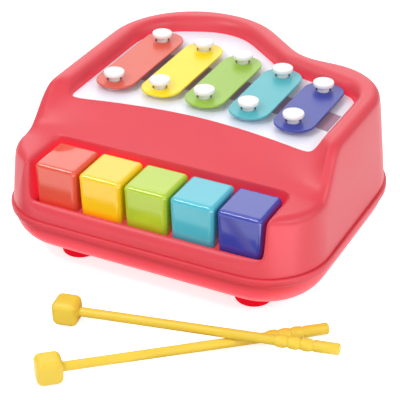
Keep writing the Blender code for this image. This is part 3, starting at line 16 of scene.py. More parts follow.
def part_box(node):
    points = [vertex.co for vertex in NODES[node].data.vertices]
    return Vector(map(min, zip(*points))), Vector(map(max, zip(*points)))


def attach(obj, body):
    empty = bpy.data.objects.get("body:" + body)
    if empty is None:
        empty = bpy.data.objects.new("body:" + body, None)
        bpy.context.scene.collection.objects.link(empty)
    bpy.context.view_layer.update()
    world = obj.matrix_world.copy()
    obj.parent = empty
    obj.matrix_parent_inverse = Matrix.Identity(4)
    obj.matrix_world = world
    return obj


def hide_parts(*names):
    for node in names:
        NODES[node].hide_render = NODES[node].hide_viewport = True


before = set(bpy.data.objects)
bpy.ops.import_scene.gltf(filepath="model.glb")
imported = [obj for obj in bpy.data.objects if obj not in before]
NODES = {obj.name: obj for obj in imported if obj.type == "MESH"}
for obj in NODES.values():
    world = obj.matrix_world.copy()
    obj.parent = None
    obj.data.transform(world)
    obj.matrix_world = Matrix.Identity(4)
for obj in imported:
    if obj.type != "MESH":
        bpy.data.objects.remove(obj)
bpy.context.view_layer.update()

# %% [markdown]
# ## The working frame
#
# The solid model is centred on its own box, mallets included. Its shapes are easier to write down
# from the middle key: x = 0 there, y = 0 at the key fronts and z = 0 on the floor. The pivot rod of
# the keys lies at y = 62 mm and z = 60 mm in that frame, so its place in the solid model gives
# the shift between the two.

# %% Find the shift between the two frames
PIVOT_Y = 0.0620
PIVOT_Z = 0.0600
rod_low, rod_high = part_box("pivot_rod")
SHIFT = Vector((0, PIVOT_Y, PIVOT_Z)) - (rod_low + rod_high) / 2
HALF = 0.5
QUARTER_TURN = pi / 2
FULL_TURN = 2 * pi
print("shift, mm:", [round(value * 1000, 2) for value in SHIFT])

# %% [markdown]
# ## Camera
#
# The photograph was taken from the right, 27 degrees round and 31 degrees up, with a long lens from
# about a metre away. Its place was found from the corners of the keys and the caps of the
# posts, whose sizes are known.

# %% Set the camera
CAMERA_SPOT = Vector((0.400619, -0.715781, 0.569855))
CAMERA_TURN = radians(26.727)
CAMERA_RISE = radians(31.306)
CAMERA_ROLL = radians(-0.281)
CAMERA_LENS = 135.0
back = Vector((sin(CAMERA_TURN) * cos(CAMERA_RISE), -cos(CAMERA_TURN) * cos(CAMERA_RISE), sin(CAMERA_RISE)))
right = Vector((0, 0, 1)).cross(back).normalized()
up = back.cross(right)
turned_right = right * cos(CAMERA_ROLL) + up * sin(CAMERA_ROLL)
turned_up = up * cos(CAMERA_ROLL) - right * sin(CAMERA_ROLL)
lens = bpy.data.cameras.new("camera")
lens.lens = CAMERA_LENS
lens.clip_start = 0.01
camera = bpy.data.objects.new("camera", lens)
turn = Matrix((turned_right, turned_up, back)).transposed().to_4x4()
camera.matrix_world = Matrix.Translation(CAMERA_SPOT - SHIFT) @ turn
bpy.context.scene.collection.objects.link(camera)
bpy.context.scene.camera = camera
bpy.context.scene.view_settings.view_transform = "Standard"
print("camera at, m:", [round(value, 3) for value in camera.matrix_world.translation])

# %% [markdown]
# ## Helpers for materials
#
# Colours are written as they look on a screen, as sRGB hex values. Blender mixes light in
# linear values, so one function converts them. Another function adds a node with its settings
# and its links, which keeps each material a short recipe.


# %% Colour and node helpers
def linear(code):
    """Linear RGBA of an sRGB hex colour such as #E8505A."""
    values = [int(code[start:start + 2], 16) / 255 for start in (1, 3, 5)]
    return (*[v / 12.92 if v <= 0.04045 else ((v + 0.055) / 1.055) ** 2.4 for v in values], 1.0)


def add(look, kind, inputs=None, **settings):
    """Adds a node to a material. An input is a value or a (node, output) link, by name or number."""
    node = look.node_tree.nodes.new(kind)
    for name, value in settings.items():
        setattr(node, name, value)
    for name, value in (inputs or {}).items():
        if isinstance(value, tuple) and len(value) == 2 and hasattr(value[0], "outputs"):
            look.node_tree.links.new(value[0].outputs[value[1]], node.inputs[name])
        else:
            node.inputs[name].default_value = value
    return node


def new_look(name):
    """An empty node material."""
    look = bpy.data.materials.new(name)
    look.use_nodes = True
    look.node_tree.nodes.clear()
    return look


def per_mm(size):
    """Noise scale that gives features of about this size in millimetres."""
    return 1000.0 / size


# Nearly all values of a noise lie between these two
NOISE_SPAN = {"From Min": 0.3, "From Max": 0.7}
print("a mid grey in linear light:", round(linear("#808080")[0], 3))

# %% [markdown]
# ## Moulded plastic
#
# The body is ABS, moulded in a tool with a fine spark-eroded texture. That gives a satin surface:
# wide soft highlights, no mirror image. The grain is about 0.5 mm, too fine to see as more than a
# slight break-up of the highlights. The colour comes through the whole wall, with faint cloudy
# differences where the melt has flowed. The keys and post caps come from a polished tool
# instead, so their highlights are sharp.
#
# Light that bounces from wall to wall in a narrow red gap gets redder and stays bright. A few
# bounces in the render lose that, so the red plastics add a little light of their own where a
# surface has close neighbours. It fades in between two heights, because only the gaps beside the keys
# and the shaded bowl need it.


# %% Moulded plastic recipe
FLOW_CLOUD_MM = 38
ABS_IOR = 1.53
POLISH_ROUGHNESS = 0.035
GAP_REACH = 0.022
GAP_OPEN = 0.72


def moulded_plastic(name, colour, roughness, grain_mm=0.5, grain_depth=0.00002, cloud=0.03, coat=0.0,
                    sheen=0.5, bounce=None):
    """ABS with a grain, faint flow clouds and an uneven gloss.

    A bounce is a painted glow for bounced light: its tone, its strength in narrow gaps and in the
    open, and the heights at which it starts and is full.
    """
    look = new_look(name)
    place = add(look, "ShaderNodeTexCoord")
    clouds = add(look, "ShaderNodeTexNoise", {
        "Vector": (place, "Object"), "Scale": per_mm(FLOW_CLOUD_MM), "Detail": 2.0})
    spread = add(look, "ShaderNodeMapRange", {
        **NOISE_SPAN, "Value": (clouds, "Fac"), "To Min": 1 - cloud, "To Max": 1 + cloud})
    tint = add(look, "ShaderNodeHueSaturation", {"Color": linear(colour), "Value": (spread, "Result")})
    grain = add(look, "ShaderNodeTexNoise", {
        "Vector": (place, "Object"), "Scale": per_mm(grain_mm), "Detail": 3.0})
    gloss = add(look, "ShaderNodeMapRange", {
        **NOISE_SPAN, "Value": (clouds, "Fac"), "To Min": roughness * 0.92, "To Max": roughness * 1.08})
    bump = add(look, "ShaderNodeBump", {"Height": (grain, "Fac"), "Strength": 0.5, "Distance": grain_depth})
    settings = {
        "Base Color": (tint, "Color"), "Roughness": (gloss, "Result"), "Normal": (bump, "Normal"),
        "IOR": ABS_IOR, "Specular IOR Level": sheen, "Coat Weight": coat, "Coat Roughness": POLISH_ROUGHNESS}
    # Painted glow: emission that stands in for light bounced between red walls, set by how close the
    # neighbours are and by height.
    if bounce:
        tone, narrow, open_air, z_none, z_full = bounce
        shade = add(look, "ShaderNodeAmbientOcclusion", {"Distance": GAP_REACH}, samples=12)
        strength = add(look, "ShaderNodeMapRange", {
            "Value": (shade, "AO"), "From Max": GAP_OPEN, "To Min": narrow, "To Max": open_air})
        parts = add(look, "ShaderNodeSeparateXYZ", {"Vector": (place, "Object")})
        zone = add(look, "ShaderNodeMapRange", {
            "Value": (parts, "Z"), "From Min": z_none, "From Max": z_full})
        strength = add(look, "ShaderNodeMath", {
            0: (strength, "Result"), 1: (zone, "Result")}, operation="MULTIPLY")
        settings.update({"Emission Color": linear(tone), "Emission Strength": (strength, "Value")})
    shader = add(look, "ShaderNodeBsdfPrincipled", settings)
    add(look, "ShaderNodeOutputMaterial", {"Surface": (shader, "BSDF")})
    return look


body_red = moulded_plastic("satin_moulded_abs_red", "#DE3E4B", 0.40,
                           bounce=("#EE1C3A", 0.60, 0.0, 0.044, 0.050))
tray_red = moulded_plastic("satin_moulded_abs_tray_red", "#DF3C4A", 0.44,
                           bounce=("#FF6470", 0.40, 0.40, 0.0330, 0.0250))
deck_white = moulded_plastic("satin_moulded_abs_white", "#EFF1FC", 0.38)
cap_white = moulded_plastic("gloss_moulded_abs_white", "#F4F2F1", 0.22)
mallet_yellow = moulded_plastic("satin_moulded_polypropylene_yellow", "#EFCC3C", 0.40)
KEY_HEX = ("#E65942", "#FDCE12", "#B2CE2C", "#4CBCCE", "#3844AA")
KEY_NAMES = ("orange_red", "yellow", "green", "turquoise", "violet_blue")
key_looks = []
for name, code in zip(KEY_NAMES, KEY_HEX):
    key_looks.append(moulded_plastic(f"polished_moulded_abs_{name}", code, 0.10, grain_mm=2.5,
                                     grain_depth=0.00001, cloud=0.02, coat=0.45))
print("plastics:", 5 + len(key_looks))

# %% [markdown]
# ## Enamel, felt, rubber and steel
#
# The bars are steel strips with a baked enamel. The enamel hides the metal, and its surface
# is slightly wavy, like orange peel, with waves about 3 mm long. The strip across the deck is
# pressed felt: its fibres are about 0.02 mm thick and tangled, drawn here as coarse
# clumps of 1.2 mm so that they show. Rubber feet have a dull surface, and the hidden
# rod, springs and screws are plain steel with fine lines from drawing.


# %% The other recipes
PEEL_MM = 3.0
ENAMEL_CLOUD_MM = 25.0
FELT_CLUMP_MM = 1.2
DRAWN_LINE_MM = 0.6


def baked_enamel(name, colour):
    """Enamel on steel with a faint orange peel."""
    look = new_look(name)
    place = add(look, "ShaderNodeTexCoord")
    peel = add(look, "ShaderNodeTexNoise", {
        "Vector": (place, "Object"), "Scale": per_mm(PEEL_MM), "Detail": 1.0})
    cloud = add(look, "ShaderNodeTexNoise", {
        "Vector": (place, "Object"), "Scale": per_mm(ENAMEL_CLOUD_MM), "Detail": 2.0})
    spread = add(look, "ShaderNodeMapRange", {
        **NOISE_SPAN, "Value": (cloud, "Fac"), "To Min": 0.97, "To Max": 1.03})
    tint = add(look, "ShaderNodeHueSaturation", {"Color": linear(colour), "Value": (spread, "Result")})
    bump = add(look, "ShaderNodeBump", {"Height": (peel, "Fac"), "Strength": 0.3, "Distance": 0.00003})
    shader = add(look, "ShaderNodeBsdfPrincipled", {
        "Base Color": (tint, "Color"), "Roughness": 0.32, "Normal": (bump, "Normal"),
        "Coat Weight": 0.05, "Coat Roughness": 0.12})
    add(look, "ShaderNodeOutputMaterial", {"Surface": (shader, "BSDF")})
    return look


def pressed_felt(name, dark, light):
    """Tangled fibres: two tones, a dull surface and a soft nap."""
    look = new_look(name)
    place = add(look, "ShaderNodeTexCoord")
    clumps = add(look, "ShaderNodeTexNoise", {
        "Vector": (place, "Object"), "Scale": per_mm(FELT_CLUMP_MM), "Detail": 6.0})
    # Sockets 6 and 7 of a Mix node are its two colours, and output 2 is the mixed one
    colours = add(look, "ShaderNodeMix", {
        "Factor": (clumps, "Fac"), 6: linear(dark), 7: linear(light)}, data_type="RGBA")
    bump = add(look, "ShaderNodeBump", {"Height": (clumps, "Fac"), "Strength": 0.6, "Distance": 0.0002})
    shader = add(look, "ShaderNodeBsdfPrincipled", {
        "Base Color": (colours, 2), "Roughness": 0.95, "Normal": (bump, "Normal"), "Sheen Weight": 0.3})
    add(look, "ShaderNodeOutputMaterial", {"Surface": (shader, "BSDF")})
    return look


def dull_rubber(name, colour, roughness=0.62, sheen=0.5):
    """Moulded rubber with a fine matt grain."""
    return moulded_plastic(name, colour, roughness, grain_mm=0.8, grain_depth=0.00004, cloud=0.05,
                           sheen=sheen)


def drawn_steel(name, colour):
    """Steel with fine lines along the wire or rod."""
    look = new_look(name)
    place = add(look, "ShaderNodeTexCoord")
    lines = add(look, "ShaderNodeTexNoise", {
        "Vector": (place, "Object"), "Scale": per_mm(DRAWN_LINE_MM), "Detail": 4.0})
    rough = add(look, "ShaderNodeMapRange", {
        **NOISE_SPAN, "Value": (lines, "Fac"), "To Min": 0.24, "To Max": 0.38})
    shader = add(look, "ShaderNodeBsdfPrincipled", {
        "Base Color": linear(colour), "Metallic": 1.0, "Roughness": (rough, "Result")})
    add(look, "ShaderNodeOutputMaterial", {"Surface": (shader, "BSDF")})
    return look


BAR_HEX = ("#DE5C48", "#FADE02", "#9AC242", "#52B6C0", "#3A44A2")
bar_looks = [baked_enamel(f"baked_enamel_{name}", code) for name, code in zip(KEY_NAMES, BAR_HEX)]
felt_mauve = pressed_felt("pressed_felt_mauve", "#9A7A96", "#C4A0B8")
foot_red = dull_rubber("moulded_rubber_red", "#F60830", 0.75, 0.15)
hammer_grey = dull_rubber("moulded_rubber_grey", "#6E6C6E")
foam_black = dull_rubber("foam_rubber_black", "#2E2C2D", 0.85)
steel = drawn_steel("drawn_steel", "#B9BABD")
print("enamels:", len(bar_looks))


# %% [markdown]
# ## Placing a piece
#
# Every new piece is a mesh in the working frame. It is moved by the shift, rides on the body of
# the solid that it stands for, and hides that solid. Openings and hollows are cut out of it
# afterwards with other meshes.


# %% Placing helpers
def piece(name, mesh, look, body, node, smooth_angle=40.0):
    """Turns a bmesh into a shown piece that stands for a solid."""
    bmesh.ops.recalc_face_normals(mesh, faces=mesh.faces)
    bmesh.ops.translate(mesh, verts=mesh.verts, vec=-SHIFT)
    data = bpy.data.meshes.new(name)
    mesh.to_mesh(data)
    mesh.free()
    data.materials.append(look)
    data.shade_smooth()
    data.set_sharp_from_angle(angle=radians(smooth_angle))
    made = bpy.data.objects.new(name, data)
    bpy.context.scene.collection.objects.link(made)
    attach(made, body)
    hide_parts(node)
    return made


def refine(made, levels):
    """Smooths a control cage into a fine surface and keeps the result."""
    step = made.modifiers.new("fine", "SUBSURF")
    step.levels = levels
    step.render_levels = levels
    apply_steps(made)


def apply_steps(made):
    """Replaces a mesh by the result of its modifiers."""
    bpy.context.view_layer.update()
    graph = bpy.context.evaluated_depsgraph_get()
    result = bpy.data.meshes.new_from_object(made.evaluated_get(graph))
    made.modifiers.clear()
    made.data = result


def firm(made, degrees):
    """Keeps flat faces flat beside small rounds: normals weighted by area, sharper edges hard."""
    made.data.shade_smooth()
    made.data.set_sharp_from_angle(angle=radians(degrees))
    step = made.modifiers.new("flat_faces", "WEIGHTED_NORMAL")
    step.keep_sharp = True
    step.weight = 100
    apply_steps(made)


def loose(mesh):
    """Turns a bmesh, given in the working frame, into a plain object."""
    bmesh.ops.recalc_face_normals(mesh, faces=mesh.faces)
    bmesh.ops.translate(mesh, verts=mesh.verts, vec=-SHIFT)
    data = bpy.data.meshes.new("cutter")
    mesh.to_mesh(data)
    mesh.free()
    made = bpy.data.objects.new("cutter", data)
    bpy.context.scene.collection.objects.link(made)
    return made


def carve(made, tool):
    """Cuts a plain object out of a piece."""
    step = made.modifiers.new("cut", "BOOLEAN")
    step.operation = "DIFFERENCE"
    step.solver = "EXACT"
    step.object = tool
    apply_steps(made)
    bpy.data.objects.remove(tool)


def cut(made, mesh):
    """Cuts a bmesh, given in the working frame, out of a piece."""
    carve(made, loose(mesh))


def add_turned(mesh, profile, segments, frame_matrix=None):
    """Adds a closed turned body from (radius, height) pairs, bottom to top."""
    matrix = frame_matrix or Matrix.Identity(4)
    rings = []
    for radius, height in profile:
        ring = []
        for step in range(segments):
            angle = FULL_TURN * step / segments
            ring.append(mesh.verts.new(matrix @ Vector((radius * cos(angle), radius * sin(angle), height))))
        rings.append(ring)
    for low, high in zip(rings, rings[1:]):
        for step in range(segments):
            after = (step + 1) % segments
            mesh.faces.new((low[step], low[after], high[after], high[step]))
    mesh.faces.new(list(reversed(rings[0])))
    mesh.faces.new(rings[-1])


def rounded(radius_start, height_start, radius_end, height_end, steps, outward=True):
    """Profile points of a quarter round between two (radius, height) points."""
    points = []
    for step in range(steps + 1):
        angle = QUARTER_TURN * step / steps
        first, second = (sin(angle), 1 - cos(angle)) if outward else (1 - cos(angle), sin(angle))
        points.append((radius_start + (radius_end - radius_start) * first,
                       height_start + (height_end - height_start) * second))
    return points


print("solids loaded:", len(NODES))

# %% [markdown]
# ## The red body: outline and height
#
# The body is a drafted wall along a piano-shaped outline, under a top skin whose height changes from
# front to back: low cheeks beside the keys, a slope that bows towards the back, and a
# raised rim round the deck. It is built as a cage of columns and rows, and subdivision turns the
# cage into one smooth skin, as the tool maker's polish would.

# %% Outline sizes
HALF_WIDTH = 0.1138
FRONT_Y = -0.0079
RIGHT_BACK_Y = 0.1803
LEFT_BACK_Y = 0.2231
DIP_X = 0.0374
CREST_X = -0.0139
FRONT_RADII = {-1: 0.0395, 1: 0.0445}
RIGHT_BACK_RADIUS = 0.0530
DIP_RADIUS = 0.0320
CREST_RADIUS = 0.0684
LEFT_BACK_RADIUS = 0.0728
SHELL_FOOT_Z = 0.0392
SEAM_Z = SHELL_FOOT_Z - 0.00029
DRAFT = radians(5.3)
CHEEK_Z = 0.0798
LEDGE_Z = 0.0515
RIM_Z = 0.1070
EDGE_ROUND = 0.0060
CHEEK_BLEND = 0.0080
RIM_BLEND = 0.0090
CORNER_STEPS = 12
DIP_STEPS = 6
CREST_STEPS = 6
LEFT_BACK_STEPS = 18
DECK_LEFT_BACK_STEPS = 16
DIAGONAL = sqrt(HALF)
ROUND_SHARE = 0.30
SLOPE_FOOT_Y = 0.0395
SLOPE_FOOT_Z = 0.0800
SLOPE_RISE = 0.0180
SLOPE_END_Y = 0.0730
SLOPE_BOW = 0.0125
SLOPE_BOW_X = 0.0880
SLOPE_BOW_POWER = 1.8
SLOPE_TIP_BOW = 0.0070
SLOPE_TIP_X = 0.0850
SLOPE_TIP_LENGTH = 0.0220
print("body, mm:", 2000 * HALF_WIDTH, "wide at the wall's foot")


# %% [markdown]
# The top skin is a height over the plan: the higher of cheek and slope, but no higher than the
# rim, with each change-over rounded as in a moulding tool.


# %% Height of the top skin
def smooth_low(first, second, blend):
    """The lower of two heights with a rounded change-over."""
    mix = min(max(HALF + HALF * (second - first) / blend, 0), 1)
    return second * (1 - mix) + first * mix - blend * mix * (1 - mix)


def smooth_high(first, second, blend):
    """The higher of two heights with a rounded change-over."""
    return -smooth_low(-first, -second, blend)


def deck_front_y(x):
    """Back end of the front slope, which bows back in the middle and falls away at its tips."""
    bow = SLOPE_BOW * (abs(x) / SLOPE_BOW_X) ** SLOPE_BOW_POWER
    return SLOPE_END_Y - bow - SLOPE_TIP_BOW * (max(abs(x) - SLOPE_TIP_X, 0) / SLOPE_TIP_LENGTH) ** 2


def top_height(x, y):
    """Height of the top skin: cheeks and shelf, front slope, rim."""
    slope = SLOPE_FOOT_Z + SLOPE_RISE * (y - SLOPE_FOOT_Y) / (deck_front_y(x) - SLOPE_FOOT_Y)
    return smooth_low(RIM_Z, smooth_high(CHEEK_Z, slope, CHEEK_BLEND), RIM_BLEND)


def lean(z):
    """How far the wall leans inward at height z."""
    return (z - SHELL_FOOT_Z) * tan(DRAFT)


def flat(point, z):
    """A plan point lifted to height z."""
    return Vector((point[0], point[1], z))


def on_skin(point):
    """A plan point lifted onto the top skin."""
    return flat(point, top_height(point.x, point.y))


slope_low, slope_high = top_height(0, SLOPE_FOOT_Y), top_height(0, SLOPE_END_Y)
print("slope rises, mm:", round(1000 * (slope_high - slope_low), 1))


# %% [markdown]
# The outline is straight walls with fillets between them. Each of its points knows which way is
# inward, so that the wall can lean and the rings of the lower half can follow it.


# %% Corners of the outline
def fillet(before, corner, after, radius, steps):
    """Points with inward normals round one plan corner of an anticlockwise loop."""
    before, corner, after = Vector(before), Vector(corner), Vector(after)
    away = (before - corner).normalized()
    ahead = (after - corner).normalized()
    half = away.angle(ahead) * HALF
    heading = -away
    side = 1 if heading.x * ahead.y - heading.y * ahead.x > 0 else -1
    normal = Vector((-heading.y, heading.x))
    centre = corner + away * radius / tan(half) + normal * radius * side
    result = []
    for step in range(steps + 1):
        turned = Matrix.Rotation(side * (pi - half - half) * step / steps, 2) @ normal
        result.append((centre - turned * radius * side, turned))
    return result


def between(first, last, count):
    """Evenly spaced entries strictly between two (point, normal) entries."""
    return [(first[0].lerp(last[0], step / (count + 1)), first[1].copy()) for step in range(1, count + 1)]


def back_entries():
    """Outline from the right side's end round the back to the left side."""
    right_end = (HALF_WIDTH, RIGHT_BACK_Y)
    dip = (DIP_X, RIGHT_BACK_Y)
    crest = (CREST_X, LEFT_BACK_Y)
    left = (-HALF_WIDTH, LEFT_BACK_Y)
    first = fillet((HALF_WIDTH, FRONT_Y), right_end, dip, RIGHT_BACK_RADIUS, CORNER_STEPS)
    second = fillet(right_end, dip, crest, DIP_RADIUS, DIP_STEPS)
    third = fillet(dip, crest, left, CREST_RADIUS, CREST_STEPS)
    fourth = fillet(crest, left, (-HALF_WIDTH, FRONT_Y), LEFT_BACK_RADIUS, LEFT_BACK_STEPS)
    entries = first + between(first[-1], second[0], 1) + second
    return entries + between(second[-1], third[0], 1) + third + fourth[1:]


def side_entries(side, depths):
    """Entries on a straight side wall at the given y values."""
    return [(Vector((side * HALF_WIDTH, y)), Vector((-side, 0))) for y in depths]


print("back outline points:", len(back_entries()))

# %% [markdown]
# ## The red body: wall columns
#
# Each column runs from the seam up the wall and over the rounded top edge. In front the wall
# is low, a ledge that the key fronts look over, and at its two ends it steps up to the cheeks.


# %% Wall columns
def front_wall(x, z):
    """Point of the front wall at x and height z, corners included."""
    shift = lean(z)
    y = FRONT_Y + shift
    for side, radius in FRONT_RADII.items():
        beyond = side * x - (HALF_WIDTH - radius)
        if beyond > 0:
            y = FRONT_Y + radius - sqrt((radius - shift) ** 2 - beyond ** 2)
    return Vector((x, y, z))


def plain_column(entry, height=None):
    """Column of the sides and back: foot, wall top, sharp corner, crown."""
    point, normal = entry
    crown_plan = point + normal * (lean(RIM_Z) + EDGE_ROUND)
    top = height or top_height(crown_plan.x, crown_plan.y)
    wall_z = top - EDGE_ROUND
    return {
        "foot": flat(point, SHELL_FOOT_Z),
        "wall": flat(point + normal * lean(wall_z), wall_z),
        "corner": flat(point + normal * lean(top), top),
        "crown": flat(point + normal * (lean(top) + EDGE_ROUND), top),
    }


def column_points(column):
    """Points of a column from the foot over the rounded edge to the crown."""
    foot, wall, corner, crown = (column[name] for name in ("foot", "wall", "corner", "crown"))
    points = [foot, column.get("middle", foot.lerp(wall, HALF)), wall]
    for step in range(1, 3):
        angle = QUARTER_TURN * step / 3
        points.append(corner + (wall - corner) * (1 - sin(angle)) + (crown - corner) * (1 - cos(angle)))
    return points + [crown]


POCKET_HALF = 0.0850
POCKET_FRONT_Y = -0.0015
POCKET_BACK_Y = 0.0365
POCKET_ROUND = 0.0040
POCKET_BACK_ROUND = 0.0015
POCKET_CORNER = 0.0030
POCKET_PIT_Z = 0.0440
NOTCH_FOOT_ROUND = 0.0030
NOTCH_EDGE = 0.0035
LEDGE_ROUND = 0.0070
LEDGE_COLUMNS = 9
CHEEK_ARC_STEPS = 8
CHEEK_ARC_START = 0.53
CHEEK_ARC_SPAN = 0.47
NOTCH_FOOT_OUTS = (0.0160, 0.0133, 0.0108, 0.0083, 0.0058, 0.0015, -0.0045)


def notch_columns(side):
    """Seven columns where the cheek steps down to the ledge, outside to inside."""
    side_top = CHEEK_Z - POCKET_ROUND
    side_foot = LEDGE_Z + NOTCH_FOOT_ROUND
    cheek_mid = POCKET_ROUND * ROUND_SHARE
    foot_mid = NOTCH_FOOT_ROUND * ROUND_SHARE
    steps = (
        (POCKET_ROUND, CHEEK_Z, 0, 1, NOTCH_EDGE, EDGE_ROUND),
        (cheek_mid, CHEEK_Z - cheek_mid, -DIAGONAL, DIAGONAL, NOTCH_EDGE, NOTCH_EDGE),
        (0, side_top, -1, 0, NOTCH_EDGE, NOTCH_EDGE),
        (0, (side_top + side_foot) * HALF, -1, 0, NOTCH_EDGE, NOTCH_EDGE),
        (0, side_foot, -1, 0, NOTCH_EDGE, None),
        (-foot_mid, LEDGE_Z + foot_mid, -DIAGONAL, DIAGONAL, NOTCH_EDGE, None),
        (-NOTCH_FOOT_ROUND, LEDGE_Z, 0, 1, LEDGE_ROUND, None),
    )
    columns = []
    for foot_out, (out, z, out_way, up_way, reach, depth) in zip(NOTCH_FOOT_OUTS, steps):
        foot_x = side * (POCKET_HALF + foot_out)
        top_x = side * (POCKET_HALF + out)
        wall_x = top_x - side * out_way * reach
        wall_z = z - up_way * reach
        corner = front_wall(top_x, z)
        crown_y = corner.y + depth if depth else POCKET_FRONT_Y
        columns.append({
            "foot": front_wall(foot_x, SHELL_FOOT_Z),
            "middle": front_wall((foot_x + wall_x) * HALF, (SHELL_FOOT_Z + wall_z) * HALF),
            "wall": front_wall(wall_x, wall_z),
            "corner": corner,
            "crown": Vector((top_x, crown_y, z)),
        })
    return columns


def ledge_columns():
    """Columns of the low front ledge between the two notches."""
    reach = POCKET_HALF - NOTCH_FOOT_ROUND
    foot_reach = POCKET_HALF + NOTCH_FOOT_OUTS[-1]
    wall_z = LEDGE_Z - LEDGE_ROUND
    columns = []
    for step in range(1, LEDGE_COLUMNS + 1):
        share = 1 - 2 * step / (LEDGE_COLUMNS + 1)
        x, foot_x = -reach * share, -foot_reach * share
        columns.append({
            "foot": front_wall(foot_x, SHELL_FOOT_Z),
            "middle": front_wall((foot_x + x) * HALF, (SHELL_FOOT_Z + wall_z) * HALF),
            "wall": front_wall(x, wall_z),
            "corner": front_wall(x, LEDGE_Z),
            "crown": Vector((x, POCKET_FRONT_Y, LEDGE_Z)),
        })
    return columns


def cheek_arc(side):
    """Front corner entries from beside the notch round to the side wall."""
    radius = FRONT_RADII[side]
    centre = Vector((side * (HALF_WIDTH - radius), FRONT_Y + radius))
    entries = []
    for step in range(CHEEK_ARC_STEPS + 1):
        angle = QUARTER_TURN * (CHEEK_ARC_START + CHEEK_ARC_SPAN * step / CHEEK_ARC_STEPS)
        outward = Vector((side * sin(angle), -cos(angle)))
        entries.append((centre + outward * radius, -outward))
    return entries


print("front columns:", len(notch_columns(1)) * 2 + LEDGE_COLUMNS)

# %% [markdown]
# ## The red body: key pocket and deck opening
#
# The pocket has rounded upper edges and walls that go straight down beside the keys. The deck
# opening is rounded generously at the sides and back, and has a tight edge in front, where the
# slope ends almost flush with the white deck.

# %% Edges of the pocket and the deck opening
DECK_LEFT_X = -0.0908
DECK_RIGHT_X = 0.0905
DECK_CORNER = 0.0050
DECK_RIGHT_BACK = (0.0905, 0.1435)
DECK_DIP = (0.0240, 0.1618)
DECK_CREST = (-0.0310, 0.2058)
DECK_LEFT_BACK = (-0.0908, 0.1797)
DECK_SIDE_START_Y = 0.0605
DECK_RIGHT_BACK_RADIUS = 0.0180
DECK_DIP_RADIUS = 0.0250
DECK_CREST_RADIUS = 0.0420
DECK_LEFT_BACK_RADIUS = 0.0400
DECK_ROUND = 0.0065
DECK_FRONT_ROUND = 0.0008
DECK_LEDGE_DEPTH = 0.0033
DECK_LEDGE_WIDTH = 0.0040
RIM_SHARES = (0.12, 0.35, 0.68)
PLATE_TOP_Z = 0.0970
SHARED_COLUMNS = 9
SHARED_Y = 0.0430
SHARED_REACH = 1.10
CHEEK_YS = (0.0388,)
RISE_YS = (0.0475, 0.0525, 0.0575, 0.0625, 0.0680, 0.0750, 0.1020)
LEFT_SIDE_Y = 0.1250
DECK_SIDE_YS = (0.0690, 0.0730, 0.0770, 0.0820, 0.0880, 0.1050)
DECK_LEFT_SIDE_YS = (0.1260, 0.1020, 0.0880, 0.0820, 0.0770, 0.0730, 0.0690)
POCKET_YS = (0.0080, 0.0130, 0.0180, 0.0230, 0.0280)
# The front corners have more entries than the pocket's straight sides, so these fill them up
POCKET_MORE_YS = (0.0105, 0.0155, 0.0205, 0.0255)


def deck_corner(side_x, side, share):
    """Entry on a front corner of the deck opening; share 0 is its front end."""
    centre_x = side_x - side * DECK_CORNER
    centre = Vector((centre_x, deck_front_y(centre_x) + DECK_CORNER))
    outward = Vector((side * sin(QUARTER_TURN * share), -cos(QUARTER_TURN * share)))
    rounding = DECK_FRONT_ROUND + (DECK_ROUND - DECK_FRONT_ROUND) * share
    return centre + outward * DECK_CORNER, outward, rounding


def deck_entries():
    """Edge of the deck opening, anticlockwise from the left front: point, outward, rounding."""
    entries = [deck_corner(DECK_LEFT_X, -1, HALF), deck_corner(DECK_LEFT_X, -1, 0)]
    low, high = DECK_LEFT_X + DECK_CORNER, DECK_RIGHT_X - DECK_CORNER
    for step in range(1, SHARED_COLUMNS + 1):
        x = low + (high - low) * step / (SHARED_COLUMNS + 1)
        entries.append((Vector((x, deck_front_y(x))), Vector((0, -1)), DECK_FRONT_ROUND))
    entries += [deck_corner(DECK_RIGHT_X, 1, share) for share in (0, HALF, 1)]
    entries += [(Vector((DECK_RIGHT_X, y)), Vector((1, 0)), DECK_ROUND) for y in DECK_SIDE_YS]
    start, end = (DECK_RIGHT_X, DECK_SIDE_START_Y), (DECK_LEFT_X, DECK_SIDE_START_Y)
    first = fillet(start, DECK_RIGHT_BACK, DECK_DIP, DECK_RIGHT_BACK_RADIUS, CORNER_STEPS)
    second = fillet(DECK_RIGHT_BACK, DECK_DIP, DECK_CREST, DECK_DIP_RADIUS, DIP_STEPS)
    third = fillet(DECK_DIP, DECK_CREST, DECK_LEFT_BACK, DECK_CREST_RADIUS, CREST_STEPS)
    fourth = fillet(DECK_CREST, DECK_LEFT_BACK, end, DECK_LEFT_BACK_RADIUS, DECK_LEFT_BACK_STEPS)
    line = first + between(first[-1], second[0], 1) + second + between(second[-1], third[0], 1) + third
    line += between(third[-1], fourth[0], 1) + fourth
    entries += [(point, -normal, DECK_ROUND) for point, normal in line]
    entries += [(Vector((DECK_LEFT_X, y)), Vector((-1, 0)), DECK_ROUND) for y in DECK_LEFT_SIDE_YS]
    return entries + [deck_corner(DECK_LEFT_X, -1, 1)]


def pocket_entries():
    """Pocket edge from the left side's front round the back: point, outward, rounding."""
    corner_y = POCKET_BACK_Y - POCKET_CORNER
    corner_x = POCKET_HALF - POCKET_CORNER
    depths = sorted(POCKET_YS + POCKET_MORE_YS) + [corner_y]
    left = [(Vector((-POCKET_HALF, y)), Vector((-1, 0)), POCKET_ROUND) for y in depths]
    diagonal = Vector((-DIAGONAL, DIAGONAL))
    middle_round = (POCKET_ROUND + POCKET_BACK_ROUND) * HALF
    left.append((Vector((-corner_x, corner_y)) + diagonal * POCKET_CORNER, diagonal, middle_round))
    right = [(Vector((-p.x, p.y)), Vector((-n.x, n.y)), r) for p, n, r in reversed(left)]
    line = []
    for step in range(SHARED_COLUMNS + 2):
        x = -corner_x + 2 * corner_x * step / (SHARED_COLUMNS + 1)
        line.append((Vector((x, POCKET_BACK_Y)), Vector((0, 1)), POCKET_BACK_ROUND))
    return left + line + right


